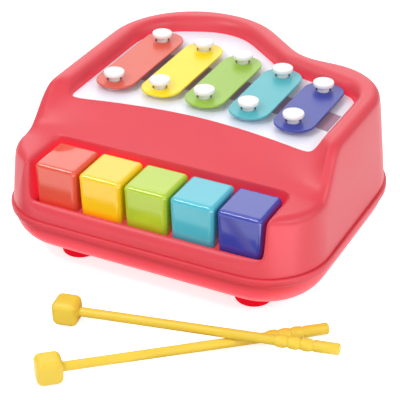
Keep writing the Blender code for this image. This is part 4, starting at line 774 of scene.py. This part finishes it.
print("deck edge points:", len(deck_entries()))


# %% [markdown]
# ## The red body: the cage
#
# The rows between neighbouring columns share their points, so the whole skin is one connected
# surface and subdivision keeps it smooth everywhere. It turns in at the seam, where the lower
# half closes it.


# %% Build the cage and smooth it
SEAM_WIDTH = 0.0024
PLAN_MIDDLE_Y = 0.09


class Cage:
    """Collects faces by their corner points and welds shared points."""

    def __init__(self):
        self.mesh = bmesh.new()
        self.known = {}

    def vert(self, point):
        key = tuple(round(value * 100000) for value in point)
        if key not in self.known:
            self.known[key] = self.mesh.verts.new(point)
        return self.known[key]

    def face(self, *points):
        corners = []
        for point in points:
            corner = self.vert(point)
            if corner not in corners:
                corners.append(corner)
        if len(corners) > 2:
            self.mesh.faces.new(corners)

    def patch(self, rows, closed=False):
        for low, high in zip(rows, rows[1:]):
            count = len(low)
            for index in range(count if closed else count - 1):
                after = (index + 1) % count
                self.face(low[index], low[after], high[after], high[index])


def body_cage():
    """Cage of the red upper body."""
    cage = Cage()
    notches = {side: notch_columns(side) for side in (-1, 1)}
    low_ys = CHEEK_YS + (SHARED_Y,)
    lows = {}
    for side in (-1, 1):
        lows[side] = [plain_column(entry, CHEEK_Z) for entry in cheek_arc(side)]
        lows[side] += [plain_column(entry) for entry in side_entries(side, low_ys)]
    upper = side_entries(1, RISE_YS) + back_entries() + side_entries(-1, (LEFT_SIDE_Y,) + RISE_YS[::-1])
    upper = [plain_column(entry) for entry in upper]
    front = notches[-1] + ledge_columns() + notches[1][::-1]
    loop = front + lows[1] + upper + lows[-1][::-1]
    rings = [list(ring) for ring in zip(*[column_points(column) for column in loop])]
    rings.insert(0, [flat(point, SEAM_Z) for point in rings[0]])
    inner_foot = []
    for point in rings[0]:
        inward = (Vector((0, PLAN_MIDDLE_Y, point.z)) - point).normalized()
        inner_foot.append(point + inward * SEAM_WIDTH)
    cage.patch([inner_foot] + rings, closed=True)
    lip = [column["crown"] for column in front[4:-4]]
    cage.patch([lip, [flat(point, POCKET_PIT_Z) for point in lip]])
    add_cheeks(cage, notches, lows)
    add_rim(cage, lows, upper)
    return cage.mesh


def shared_line():
    """Row of points between the shelf behind the keys and the slope."""
    reach = (POCKET_HALF - POCKET_CORNER) * SHARED_REACH
    count = SHARED_COLUMNS + 1
    return [on_skin(Vector((-reach + 2 * reach * step / count, SHARED_Y))) for step in range(count + 1)]


def add_cheeks(cage, notches, lows):
    """Cheeks and shelf round the pocket, down into it."""
    pocket = pocket_entries()
    outer = [column["crown"] for column in lows[-1]] + shared_line()
    outer += [column["crown"] for column in lows[1][::-1]]
    collar = [on_skin(point + away * rounding) for point, away, rounding in pocket]
    middle, top = [], []
    for (point, away, rounding), start in zip(pocket, collar):
        middle.append(flat(point + away * rounding * ROUND_SHARE, start.z - rounding * ROUND_SHARE))
        top.append(flat(point, start.z - rounding))
    rows = [outer, [on_skin(a.lerp(b, HALF)) for a, b in zip(outer, collar)], collar, middle, top]
    low = LEDGE_Z + NOTCH_FOOT_ROUND
    rows += [[flat(point, point.z + (low - point.z) * share) for point in top] for share in (0.5, 1.0)]
    rows.append([flat(entry[0], POCKET_PIT_Z) for entry in pocket])
    for side in (-1, 1):
        crowns = [column["crown"] for column in notches[side][:5]]
        first = [crowns[0], crowns[0]] + crowns + [flat(crowns[4], POCKET_PIT_Z)]
        for row, point in zip(rows, first):
            row.insert(0 if side < 0 else len(row), point)
    cage.patch(rows)


def add_rim(cage, lows, upper):
    """Slope and rim up to the deck opening, down to the ledge that carries the deck."""
    edge = deck_entries()
    outer = [lows[-1][-1]["crown"]] + shared_line() + [lows[1][-1]["crown"]]
    outer += [column["crown"] for column in upper]
    collar = [on_skin(point + away * rounding) for point, away, rounding in edge]
    rows = [outer]
    rows += [[on_skin(a.lerp(b, share)) for a, b in zip(outer, collar)] for share in RIM_SHARES]
    rows.append(collar)
    for step in range(1, 4):
        angle = QUARTER_TURN * step / 3
        row = []
        for (point, away, rounding), start in zip(edge, collar):
            drop = (start.z - PLATE_TOP_Z) * (1 - cos(angle))
            row.append(flat(point + away * rounding * (1 - sin(angle)), start.z - drop))
        rows.append(row)
    ledge_z = PLATE_TOP_Z - DECK_LEDGE_DEPTH
    rows.append([flat(point, ledge_z) for point, away, rounding in edge])
    rows.append([flat(point - away * DECK_LEDGE_WIDTH, ledge_z) for point, away, rounding in edge])
    cage.patch(rows, closed=True)


body = piece("body_upper_half", body_cage(), body_red, "housing", "top_shell")
refine(body, 2)
print("upper body faces:", len(body.data.polygons))

# %% [markdown]
# ## The lower half
#
# The lower half of the body has a lip that stands 1.8 mm proud under the seam, then a small
# crease and a bowl that curves in to the flat bottom. Its rings follow the same outline. It is
# moulded as a shell 2.6 mm thick, so a smaller bowl is carved out of it. Six tubes are left
# standing for the screws that hold the halves together, each with a recess for the screw head.


# %% Build the lower half
def whole_outline():
    """The body outline as (point, inward normal), anticlockwise from the left front corner."""
    left, right_end = (-HALF_WIDTH, FRONT_Y), (HALF_WIDTH, FRONT_Y)
    entries = fillet((-HALF_WIDTH, LEFT_BACK_Y), left, right_end, FRONT_RADII[-1], CORNER_STEPS)
    first = fillet(left, right_end, (HALF_WIDTH, RIGHT_BACK_Y), FRONT_RADII[1], CORNER_STEPS)
    entries += between(entries[-1], first[0], 5) + first
    line = back_entries()
    entries += between(entries[-1], line[0], 4) + line
    return entries + between(entries[-1], entries[0], 4)


LIP_PROUD = 0.0018
LIP_ROUND = 0.0005
LIP_TOP_Z = SHELL_FOOT_Z - 0.0003
LIP_WAIST_Z = 0.0365
LIP_FOOT_Z = 0.0341
LIP_END_Z = 0.0332
CREASE_IN = 0.0006
CREASE_Z = 0.0327
TRAY_BOTTOM_Z = 0.0075
BOWL_REACH = 0.0340
BOWL_POWER = 2.03
BOWL_STEPS = 10
TRAY_WALL = 0.0026
SCREW_SPOTS = ((-0.0985, 0.0200), (0.0985, 0.0240), (-0.0975, 0.1100),
               (-0.0445, 0.2064), (0.0080, 0.1854), (0.0851, 0.1516))
SCREW_TUBE_RADIUS = 0.0062
SCREW_HEAD_RADIUS = 0.0042
SCREW_HEAD_Z = 0.0240
SCREW_HOLE_RADIUS = 0.0022
ABOVE_TRAY_Z = 0.06


def bowl_points(wall):
    """(inward, height) pairs down the bowl, or down its inside at a wall's distance."""
    points = []
    power = 2 / BOWL_POWER
    for step in range(BOWL_STEPS + 1):
        angle = QUARTER_TURN * step / BOWL_STEPS
        inward = CREASE_IN + (BOWL_REACH - CREASE_IN) * (1 - max(cos(angle), 0) ** power)
        height = CREASE_Z - (CREASE_Z - TRAY_BOTTOM_Z) * sin(angle) ** power
        points.append((inward + wall, height + wall * sin(angle)))
    return points


def turned_in(profile):
    """Closed cage of (inward, height) rings that follow the outline."""
    shape = Cage()
    outline = whole_outline()
    rings = [[flat(point + normal * inward, z) for point, normal in outline] for inward, z in profile]
    shape.patch(rings, closed=True)
    shape.face(*rings[0])
    shape.face(*rings[-1])
    return shape.mesh


outside = [(TRAY_WALL, LIP_TOP_Z), (-LIP_PROUD + LIP_ROUND * 2, LIP_TOP_Z)]
outside += [(-LIP_PROUD + LIP_ROUND, LIP_TOP_Z), (-LIP_PROUD, LIP_TOP_Z - LIP_ROUND)]
outside += [(-LIP_PROUD, LIP_WAIST_Z), (-LIP_PROUD, LIP_FOOT_Z), (-LIP_PROUD * HALF, LIP_END_Z)]
tray = piece("body_lower_half", turned_in(outside + bowl_points(0)), tray_red, "housing", "base_tray")
refine(tray, 1)
inside = [(CREASE_IN + TRAY_WALL, LIP_TOP_Z + TRAY_WALL), (CREASE_IN + TRAY_WALL, LIP_TOP_Z - TRAY_WALL)]
hollow = loose(turned_in(inside + bowl_points(TRAY_WALL)))
refine(hollow, 1)
tubes = bmesh.new()
recesses = bmesh.new()
recess = [(SCREW_HEAD_RADIUS, 0), (SCREW_HEAD_RADIUS, SCREW_HEAD_Z)]
recess += [(SCREW_HOLE_RADIUS, SCREW_HEAD_Z), (SCREW_HOLE_RADIUS, ABOVE_TRAY_Z)]
for x, y in SCREW_SPOTS:
    spot = Matrix.Translation((x, y, 0))
    add_turned(tubes, [(SCREW_TUBE_RADIUS, 0), (SCREW_TUBE_RADIUS, ABOVE_TRAY_Z)], 32, spot)
    add_turned(recesses, recess, 32, spot)
cut(hollow, tubes)
carve(tray, hollow)
cut(tray, recesses)
firm(tray, 40.0)
print("lower body faces:", len(tray.data.polygons))

# %% [markdown]
# ## The white deck
#
# The deck is a flat plate that drops into the opening. Its edge follows the same curve, 0.35 mm
# inside it. Low round bosses carry the bars, a shallow recess takes the felt strip, and five
# windows under the bars let the keys' hammers through.


# %% Build the deck
BAND_FRONT = ((-0.0750, 0.1050), (0.0170, 0.1060), (0.0780, 0.0945), (0.0875, 0.0925))
BAND_BACK = ((0.0875, 0.1165), (0.0780, 0.1190), (0.0170, 0.1335), (-0.0510, 0.1500), (-0.0750, 0.1500))
KEY_PITCH = 0.0335
BAR_PITCH = 0.0339
BAR_SHIFT = -0.0017
BAR_FRONT_YS = (0.0775, 0.0805, 0.0795, 0.0775, 0.0748)
BAR_BACK_YS = (0.1737, 0.1697, 0.1624, 0.1556, 0.1490)
POST_SHIFTS = {"front": -0.0013, "back": -0.0007}
POST_YS = {
    "front": (0.0895, 0.0929, 0.0930, 0.0908, 0.0879),
    "back": (0.1596, 0.1592, 0.1529, 0.1458, 0.1379),
}
HAMMER_YS = [(front + end) * HALF for front, end in zip(BAR_FRONT_YS, BAR_BACK_YS)]
PLATE_FOOT_Z = 0.0940
PLATE_GAP = 0.00035
BAND_FOOT_Z = 0.0955
BELOW_DECK_Z = 0.09
ABOVE_DECK_Z = 0.12
WINDOW_HALF = 0.0043
WINDOW_FRONT = 0.0088
WINDOW_BACK = 0.0053
BOSS_PROFILE = ((0.0075, 0.0960), (0.0075, 0.0994), (0.0070, 0.0999))
NUMBERS = range(5)


def bar_x(number):
    """Middle of a metal bar, numbered from 0 at the left."""
    return (number - 2) * BAR_PITCH + BAR_SHIFT


def post_spots(number):
    """Plan places of a bar's front and back post."""
    return {end: (bar_x(number) + shift, POST_YS[end][number]) for end, shift in POST_SHIFTS.items()}


def prism(points, low, high):
    """Upright prism over plan points."""
    shape = Cage()
    rows = [[flat(point, z) for point in points] for z in (low, high)]
    shape.patch(rows, closed=True)
    shape.face(*rows[0])
    shape.face(*rows[1])
    return shape.mesh


def add_block(mesh, low, high):
    """Adds one closed box to a bmesh."""
    low, high = Vector(low), Vector(high)
    move = Matrix.Translation((low + high) * HALF) @ Matrix.Diagonal((*(high - low), 1))
    bmesh.ops.create_cube(mesh, size=1, matrix=move)


def add_windows(mesh):
    """Openings that the hammers rise through."""
    for number, y in enumerate(HAMMER_YS):
        x = (number - 2) * KEY_PITCH
        add_block(mesh, (x - WINDOW_HALF, y - WINDOW_FRONT, BELOW_DECK_Z),
                  (x + WINDOW_HALF, y + WINDOW_BACK, ABOVE_DECK_Z))


edge = [point - away * PLATE_GAP for point, away, rounding in deck_entries()]
# Two rounds of the same averaging as in subdivision make the edge match the body's smoothed one
for _ in range(2):
    finer = []
    for index, point in enumerate(edge):
        before, after = edge[index - 1], edge[(index + 1) % len(edge)]
        finer.append((before + point * 6 + after) / 8)
        finer.append((point + after) * HALF)
    edge = finer
deck = piece("deck_plate_white", prism(edge, PLATE_FOOT_Z, PLATE_TOP_Z), deck_white, "housing", "deck_plate")
cut(deck, prism([Vector(point) for point in BAND_FRONT + BAND_BACK], BAND_FOOT_Z, ABOVE_DECK_Z))
windows = bmesh.new()
add_windows(windows)
cut(deck, windows)
firm(deck, 30.0)
bosses = bmesh.new()
for number in NUMBERS:
    for x, y in post_spots(number).values():
        add_turned(bosses, BOSS_PROFILE, 40, Matrix.Translation((x, y, 0)))
piece("deck_bosses", bosses, deck_white, "housing", "deck_plate")
print("deck corners:", len(edge))


# %% [markdown]
# ## Metal bars
#
# Each bar is a strip of 1.8 mm steel with round ends, shorter towards the right for a higher note.
# The stamped edge has a small break. Two holes, wider than the posts, leave the bar loose so
# that it can ring.


# %% Build the bars
BAR_HALF = 0.0143
BAR_FOOT_Z = 0.1004
BAR_TOP_Z = 0.1022
BAR_CORNER = 0.0132
BAR_EDGE = 0.0004
BAR_HOLE_RADIUS = 0.00525
BAR_CORNER_STEPS = 18
ABOVE_BARS_Z = 0.11


def bar_mesh(number):
    """Bar with round ends and broken edges."""
    x = bar_x(number)
    side = BAR_HALF - BAR_CORNER
    low, high = BAR_FRONT_YS[number] + BAR_CORNER, BAR_BACK_YS[number] - BAR_CORNER
    points = []
    for quarter, centre in enumerate(((side, high), (-side, high), (-side, low), (side, low))):
        for step in range(BAR_CORNER_STEPS + 1):
            angle = QUARTER_TURN * (quarter + step / BAR_CORNER_STEPS)
            points.append((cos(angle), sin(angle), centre))
    shape = Cage()
    rows = []
    levels = [(BAR_CORNER - BAR_EDGE, BAR_FOOT_Z), (BAR_CORNER, BAR_FOOT_Z + BAR_EDGE)]
    for step in range(4):
        angle = QUARTER_TURN * step / 3
        levels.append((BAR_CORNER - BAR_EDGE * (1 - cos(angle)), BAR_TOP_Z - BAR_EDGE * (1 - sin(angle))))
    for radius, z in levels:
        rows.append([Vector((x + cx + radius * c, cy + radius * s, z)) for c, s, (cx, cy) in points])
    shape.patch(rows, closed=True)
    shape.face(*rows[0])
    shape.face(*rows[-1])
    return shape.mesh


hole = [(BAR_HOLE_RADIUS, BELOW_DECK_Z), (BAR_HOLE_RADIUS, ABOVE_BARS_Z)]
for number in NUMBERS:
    name = f"chime_bar_{number + 1}"
    bar = piece(name, bar_mesh(number), bar_looks[number], "housing", f"bar_{number + 1}", 50.0)
    holes = bmesh.new()
    for x, y in post_spots(number).values():
        add_turned(holes, hole, 48, Matrix.Translation((x, y, 0)))
    cut(bar, holes)
    firm(bar, 50.0)
print("bar lengths, mm:", [round(1000 * (b - f), 1) for f, b in zip(BAR_FRONT_YS, BAR_BACK_YS)])

# %% [markdown]
# ## Posts
#
# A post is one turned shape: a pin in the deck, a stem through the bar and a flat cap with a
# rounded rim. The caps are 3.3 mm above the bars.

# %% Build the posts
CAP_RADIUS = 0.0072
CAP_FOOT_Z = BAR_TOP_Z + 0.0033
CAP_TOP_Z = CAP_FOOT_Z + 0.0030
CAP_ROUND = 0.0009
CAP_DOME = 0.0010
PIN_RADIUS = 0.0027
PIN_FOOT_Z = 0.0960
STEM_RADIUS = 0.00405
STEM_FOOT_Z = 0.1002
STEM_FLARE_RADIUS = 0.0045


def post_profile():
    """Pin, stem, cap with rounded rim and a barely domed top."""
    profile = [(PIN_RADIUS, PIN_FOOT_Z), (PIN_RADIUS, STEM_FOOT_Z), (STEM_RADIUS, STEM_FOOT_Z)]
    profile += [(STEM_RADIUS, CAP_FOOT_Z - 0.0005), (STEM_FLARE_RADIUS, CAP_FOOT_Z)]
    profile += rounded(CAP_RADIUS - CAP_ROUND, CAP_FOOT_Z, CAP_RADIUS, CAP_FOOT_Z + CAP_ROUND, 4)
    profile += rounded(CAP_RADIUS, CAP_TOP_Z - CAP_ROUND, CAP_RADIUS - CAP_ROUND, CAP_TOP_Z, 4, False)
    for share in (0.7, 0.45, 0.2):
        profile.append((CAP_RADIUS * share, CAP_TOP_Z + CAP_DOME * (1 - share ** 2)))
    return profile


for number in NUMBERS:
    for end, (x, y) in post_spots(number).items():
        mesh = bmesh.new()
        add_turned(mesh, post_profile(), 48, Matrix.Translation((x, y, 0)))
        piece(f"bar_post_{end}_{number + 1}", mesh, cap_white, "housing", f"post_{end}_{number + 1}")
print("cap diameter, mm:", CAP_RADIUS * 2000)

# %% [markdown]
# ## Keys
#
# A key is a moulded block, polished outside, with 3.4 mm round edges and a little draft. It is
# hollow, and its spring stands inside. Behind the block its lever runs back over the pivot rod.
# The bevel is made with many steps, because the crisp white line along the key's front edge is a
# highlight on that round.

# %% Build the keys
KEY_HALF = 0.01575
KEY_DEPTH = 0.0340
KEY_TOP_Z = 0.0780
KEY_FOOT_Z = 0.0470
KEY_TAPER = 0.0008
KEY_ROUND = 0.0034
KEY_WALL = 0.0024
LEVER_TAIL = 0.0060
LEVER_HALF = 0.005
LEVER_FOOT_Z = 0.0560
LEVER_TOP_Z = 0.0640
LEVER_OVERLAP = 0.001
LEVER_ROUND = 0.0005
PIVOT_BOSS_RADIUS = 0.0052


def key_mesh(number):
    """Key block with round edges and its lever with the pivot boss."""
    x = (number - 2) * KEY_PITCH
    mesh = bmesh.new()
    add_block(mesh, (x - KEY_HALF, 0, KEY_FOOT_Z), (x + KEY_HALF, KEY_DEPTH, KEY_TOP_Z))
    middle_z = (KEY_FOOT_Z + KEY_TOP_Z) * HALF
    for vert in mesh.verts:
        if vert.co.z < middle_z:
            vert.co.x += KEY_TAPER if vert.co.x < x else -KEY_TAPER
            vert.co.y += KEY_TAPER if vert.co.y < KEY_DEPTH * HALF else 0
    edges = [edge for edge in mesh.edges if max(vert.co.z for vert in edge.verts) > middle_z]
    bmesh.ops.bevel(mesh, geom=edges, offset=KEY_ROUND, segments=8, profile=HALF, affect="EDGES")
    tail = HAMMER_YS[number] + LEVER_TAIL
    lever = bmesh.new()
    add_block(lever, (x - LEVER_HALF, KEY_DEPTH - LEVER_OVERLAP, LEVER_FOOT_Z),
              (x + LEVER_HALF, tail, LEVER_TOP_Z))
    bmesh.ops.bevel(lever, geom=lever.edges[:], offset=LEVER_ROUND, segments=2, profile=HALF, affect="EDGES")
    across = Matrix.Translation((x, PIVOT_Y, PIVOT_Z)) @ Matrix.Rotation(QUARTER_TURN, 4, "Y")
    add_turned(lever, [(PIVOT_BOSS_RADIUS, -LEVER_HALF), (PIVOT_BOSS_RADIUS, LEVER_HALF)], 32, across)
    data = bpy.data.meshes.new("lever")
    lever.to_mesh(data)
    lever.free()
    mesh.from_mesh(data)
    return mesh


for number in NUMBERS:
    name = f"key_block_{number + 1}"
    key = piece(name, key_mesh(number), key_looks[number], f"key_lever_{number + 1}", f"key_{number + 1}")
    hollow = bmesh.new()
    x = (number - 2) * KEY_PITCH
    inside = KEY_HALF - KEY_WALL
    add_block(hollow, (x - inside, KEY_WALL, KEY_FOOT_Z - KEY_WALL),
              (x + inside, KEY_DEPTH - KEY_WALL, KEY_TOP_Z - KEY_WALL))
    cut(key, hollow)
    firm(key, 50.0)
print("key width, mm:", KEY_HALF * 2000)

# %% [markdown]
# ## Feet
#
# Four round rubber feet with a softened lower edge. A small plug on top of each one holds it in
# the lower half.

# %% Build the feet
FOOT_SPOTS = {"front_left": (-0.0660, 0.0270), "front_right": (0.0660, 0.0270),
              "back_left": (-0.0660, 0.1650), "back_right": (0.0660, 0.1400)}
FOOT_RADIUS = 0.0128
FOOT_ROUND = 0.0016
FOOT_TOP_Z = 0.0072
PLUG_RADIUS = 0.0030
PLUG_TOP_Z = 0.0122
for name, spot in FOOT_SPOTS.items():
    mesh = bmesh.new()
    profile = rounded(FOOT_RADIUS - FOOT_ROUND, 0, FOOT_RADIUS, FOOT_ROUND, 6)
    profile += [(FOOT_RADIUS, FOOT_TOP_Z), (PLUG_RADIUS, FOOT_TOP_Z), (PLUG_RADIUS, PLUG_TOP_Z)]
    add_turned(mesh, profile, 64, Matrix.Translation((*spot, 0)))
    piece(f"rubber_foot_{name}", mesh, foot_red, "housing", f"foot_{name}")
print("feet:", len(FOOT_SPOTS))

# %% [markdown]
# ## Mallets
#
# A mallet has a cube head with well-rounded edges and a stick that thickens to a ringed
# handle. Its head and the end of the stick rest on the floor, and one stick lies across the other.

# %% Build the mallets
HEAD_HALF = 0.0084
HEAD_ROUND = 0.0041
STICK_DEPTH = 0.0057
STICK_HEAD_RADIUS = 0.0031
STICK_TAIL_RADIUS = 0.0038
STICK_NECK_RADIUS = 0.0032
STICK_END_ROUND = 0.0012
RING_COUNT = 3
RING_LENGTH = 0.0080
RING_HEIGHT = 0.0010
RING_STEPS = 12
GRIP_LENGTH = 0.0170
GRIP_START = 0.0158
MALLETS = {
    "upper_mallet": (Vector((-0.0303, -0.0507, 0.0087)), Vector((0.1456, -0.0197, 0.0144))),
    "lower_mallet": (Vector((-0.0088, -0.1087, 0.0087)), Vector((0.1255, 0.0109, 0.0039))),
}


def axis_frame(head, tail):
    """Frame at the head centre whose Z runs along the stick, X level."""
    along = (tail - head).normalized()
    level = along.cross(Vector((0, 0, 1))).normalized()
    return Matrix.Translation(head) @ Matrix((level, level.cross(along), along)).transposed().to_4x4()


def stick_profile(length):
    """(radius, distance from the head's centre) along a stick with three rings on its handle."""
    neck = STICK_NECK_RADIUS
    handle = length - GRIP_LENGTH - RING_COUNT * RING_LENGTH
    profile = [(STICK_HEAD_RADIUS, HEAD_HALF - STICK_DEPTH), (STICK_HEAD_RADIUS, HEAD_HALF), (neck, handle)]
    for ring in range(RING_COUNT):
        start = handle + RING_LENGTH * ring
        for step in range(1, RING_STEPS + 1):
            share = step / RING_STEPS
            profile.append((neck + RING_HEIGHT * sin(pi * share) ** HALF, start + RING_LENGTH * share))
    profile.append((STICK_TAIL_RADIUS, length - GRIP_START))
    end_radius = STICK_TAIL_RADIUS - STICK_END_ROUND
    profile += rounded(STICK_TAIL_RADIUS, length - STICK_END_ROUND, end_radius, length, 5, False)
    return profile


for name, (head_spot, tail_spot) in MALLETS.items():
    turned_frame = axis_frame(head_spot, tail_spot)
    mesh = bmesh.new()
    bmesh.ops.create_cube(mesh, size=HEAD_HALF * 2)
    bmesh.ops.bevel(mesh, geom=mesh.edges[:], offset=HEAD_ROUND, segments=8, profile=HALF, affect="EDGES")
    bmesh.ops.transform(mesh, matrix=turned_frame, verts=mesh.verts)
    firm(piece(f"{name}_cube", mesh, mallet_yellow, name, f"{name}_head"), 50.0)
    mesh = bmesh.new()
    add_turned(mesh, stick_profile((tail_spot - head_spot).length), 40, turned_frame)
    piece(f"{name}_handle", mesh, mallet_yellow, name, f"{name}_stick", 50.0)
print("mallet length, mm:", round(1000 * (tail_spot - head_spot).length + 1000 * HEAD_HALF, 1))

# %% [markdown]
# ## Solids that stay
#
# The felt strip and everything inside the body have the right shape already. They only get
# their materials.

# %% Dress the solids that stay
STAYING = {"damping_strip": felt_mauve, "lever_rest_strip": foam_black, "pivot_rod": steel}
for number in range(1, 6):
    STAYING[f"hammer_{number}"] = hammer_grey
    STAYING[f"key_spring_{number}"] = steel
for number in range(1, 7):
    STAYING[f"screw_{number}"] = steel
for name, look in STAYING.items():
    NODES[name].data.materials.clear()
    NODES[name].data.materials.append(look)
print("solids dressed:", len(STAYING))

# %% [markdown]
# ## Floor and light
#
# The photograph has a white ground and very soft light from all round, a little stronger from the
# front right. A bright even world and four wide lamps give that, and two narrow lamps give the
# thin bright lines on the keys' edges. To the camera and in reflections the floor adds a little
# light of its own, so that it reads as white, and still keeps the toy's shadow.
#
# The polished keys mirror the floor. Their fronts are darker in the lower part, and the right one
# has a bright streak. So reflections, and they alone, see a painted shadow band, dark red, in front
# of the toy and a painted bright patch on its right.

# %% Floor
FLOOR_HALF = 6.0
FLOOR_GLOW = 0.66
SHADOW_BAND_MIDDLE_Y = -0.040
SHADOW_BAND_HALF = 0.040
SHADOW_BAND_END_X = 0.120
SHADOW_BAND_SOFT_Y = 0.002
SHADOW_BAND_SOFT_X = 0.005
PAINTED_REFLECTION_GLOW = 3.0
PATCH_X = (0.120, 0.150)
PATCH_Y = (-0.100, -0.050)
floor_mesh = bmesh.new()
bmesh.ops.create_grid(floor_mesh, x_segments=1, y_segments=1, size=FLOOR_HALF)
floor_data = bpy.data.meshes.new("floor")
floor_mesh.to_mesh(floor_data)
floor_mesh.free()
floor = bpy.data.objects.new("floor", floor_data)
floor.location.z = -0.0002
bpy.context.scene.collection.objects.link(floor)
paper = new_look("white_paper_floor")
rays = add(paper, "ShaderNodeLightPath")
seen = add(paper, "ShaderNodeMath", {
    0: (rays, "Is Camera Ray"), 1: (rays, "Is Glossy Ray")}, operation="MAXIMUM")
seen = add(paper, "ShaderNodeMath", {
    0: (seen, "Value"), 1: (rays, "Is Transmission Ray")}, operation="MAXIMUM")
glow = add(paper, "ShaderNodeMath", {0: (seen, "Value"), 1: FLOOR_GLOW}, operation="MULTIPLY")
place = add(paper, "ShaderNodeTexCoord")
parts = add(paper, "ShaderNodeSeparateXYZ", {"Vector": (place, "Object")})
# Painted shadow band: a dark red strip of floor in front of the toy that only reflections see.
apart = add(paper, "ShaderNodeMath", {0: (parts, "Y"), 1: SHIFT.y - SHADOW_BAND_MIDDLE_Y}, operation="ADD")
apart = add(paper, "ShaderNodeMath", {0: (apart, "Value")}, operation="ABSOLUTE")
painted_shadow_band = add(paper, "ShaderNodeMapRange", {
    "Value": (apart, "Value"), "From Min": SHADOW_BAND_HALF - SHADOW_BAND_SOFT_Y, "From Max": SHADOW_BAND_HALF + SHADOW_BAND_SOFT_Y,
    "To Min": 1.0, "To Max": 0.0})
leftward = add(paper, "ShaderNodeMapRange", {
    "Value": (parts, "X"), "From Min": SHADOW_BAND_END_X - SHADOW_BAND_SOFT_X, "From Max": SHADOW_BAND_END_X + SHADOW_BAND_SOFT_X,
    "To Min": 1.0, "To Max": 0.0})
painted_shadow_band = add(paper, "ShaderNodeMath", {0: (painted_shadow_band, "Result"), 1: (leftward, "Result")}, operation="MULTIPLY")
painted_shadow_band = add(paper, "ShaderNodeMath", {0: (painted_shadow_band, "Value"), 1: (rays, "Is Glossy Ray")}, operation="MULTIPLY")
# Painted reflection: a bright patch on the floor at the right that only glossy rays see.
patch_x = add(paper, "ShaderNodeMapRange", {
    "Value": (parts, "X"), "From Min": PATCH_X[0], "From Max": PATCH_X[1], "To Max": PAINTED_REFLECTION_GLOW})
patch_y = add(paper, "ShaderNodeMapRange", {
    "Value": (parts, "Y"), "From Min": PATCH_Y[0], "From Max": PATCH_Y[1], "To Min": 1.0, "To Max": 0.0})
patch = add(paper, "ShaderNodeMath", {0: (patch_x, "Result"), 1: (patch_y, "Result")}, operation="MULTIPLY")
patch = add(paper, "ShaderNodeMath", {0: (patch, "Value"), 1: (rays, "Is Glossy Ray")}, operation="MULTIPLY")
plain = add(paper, "ShaderNodeMath", {0: 1.0, 1: (painted_shadow_band, "Value")}, operation="SUBTRACT", use_clamp=True)
glow = add(paper, "ShaderNodeMath", {0: (glow, "Value"), 1: (plain, "Value")}, operation="MULTIPLY")
glow = add(paper, "ShaderNodeMath", {0: (glow, "Value"), 1: (patch, "Value")}, operation="ADD")
tone = add(paper, "ShaderNodeMix", {
    "Factor": (painted_shadow_band, "Value"), 6: linear("#EDEDEE"), 7: linear("#6A3A40")}, data_type="RGBA")
sheet = add(paper, "ShaderNodeBsdfPrincipled", {
    "Base Color": (tone, 2), "Roughness": 0.9, "Specular IOR Level": 0.0,
    "Emission Color": (1, 1, 1, 1), "Emission Strength": (glow, "Value")})
add(paper, "ShaderNodeOutputMaterial", {"Surface": (sheet, "BSDF")})
floor_data.materials.append(paper)
print("floor, m:", FLOOR_HALF * 2)


# %% [markdown]
# A lamp's power is worked out from its radiance, the brightness that a mirror would show, so
# that a lamp can change its size and keep its look.


# %% Lamps and world
LAMP_AIM = Vector((-0.01, 0.06, 0.05))


def softbox(name, way, distance, width, radiance, height=None):
    """A soft lamp of a given radiance, placed in a direction from the toy and aimed at it."""
    spot = LAMP_AIM + Vector(way).normalized() * distance
    data = bpy.data.lights.new(name, "AREA")
    data.shape = "RECTANGLE"
    data.size = width
    data.size_y = height or width
    data.energy = pi * width * (height or width) * radiance
    made = bpy.data.objects.new(name, data)
    made.location = spot
    made.rotation_euler = (spot - LAMP_AIM).to_track_quat("Z", "Y").to_euler()
    bpy.context.scene.collection.objects.link(made)


softbox("overhead", (-0.45, 0.0, 0.89), 1.5, 0.9, 1.1)
softbox("behind", (-0.384, 0.763, 0.52), 1.6, 1.5, 1.35)
softbox("front", (0.25, -1.0, 0.55), 1.7, 1.2, 1.15)
softbox("right_side", (1.0, 0.05, 0.55), 1.7, 1.1, 1.2)
softbox("left_glint", (-0.384, -0.52, 0.763), 1.3, 0.55, 24.0, 0.11)
softbox("right_glint", (0.73, -0.35, 0.59), 1.3, 0.18, 22.0)
world = bpy.data.worlds.new("studio")
bpy.context.scene.world = world
world.use_nodes = True
world.node_tree.nodes["Background"].inputs["Color"].default_value = (1, 1, 1, 1)
world.node_tree.nodes["Background"].inputs["Strength"].default_value = 0.47
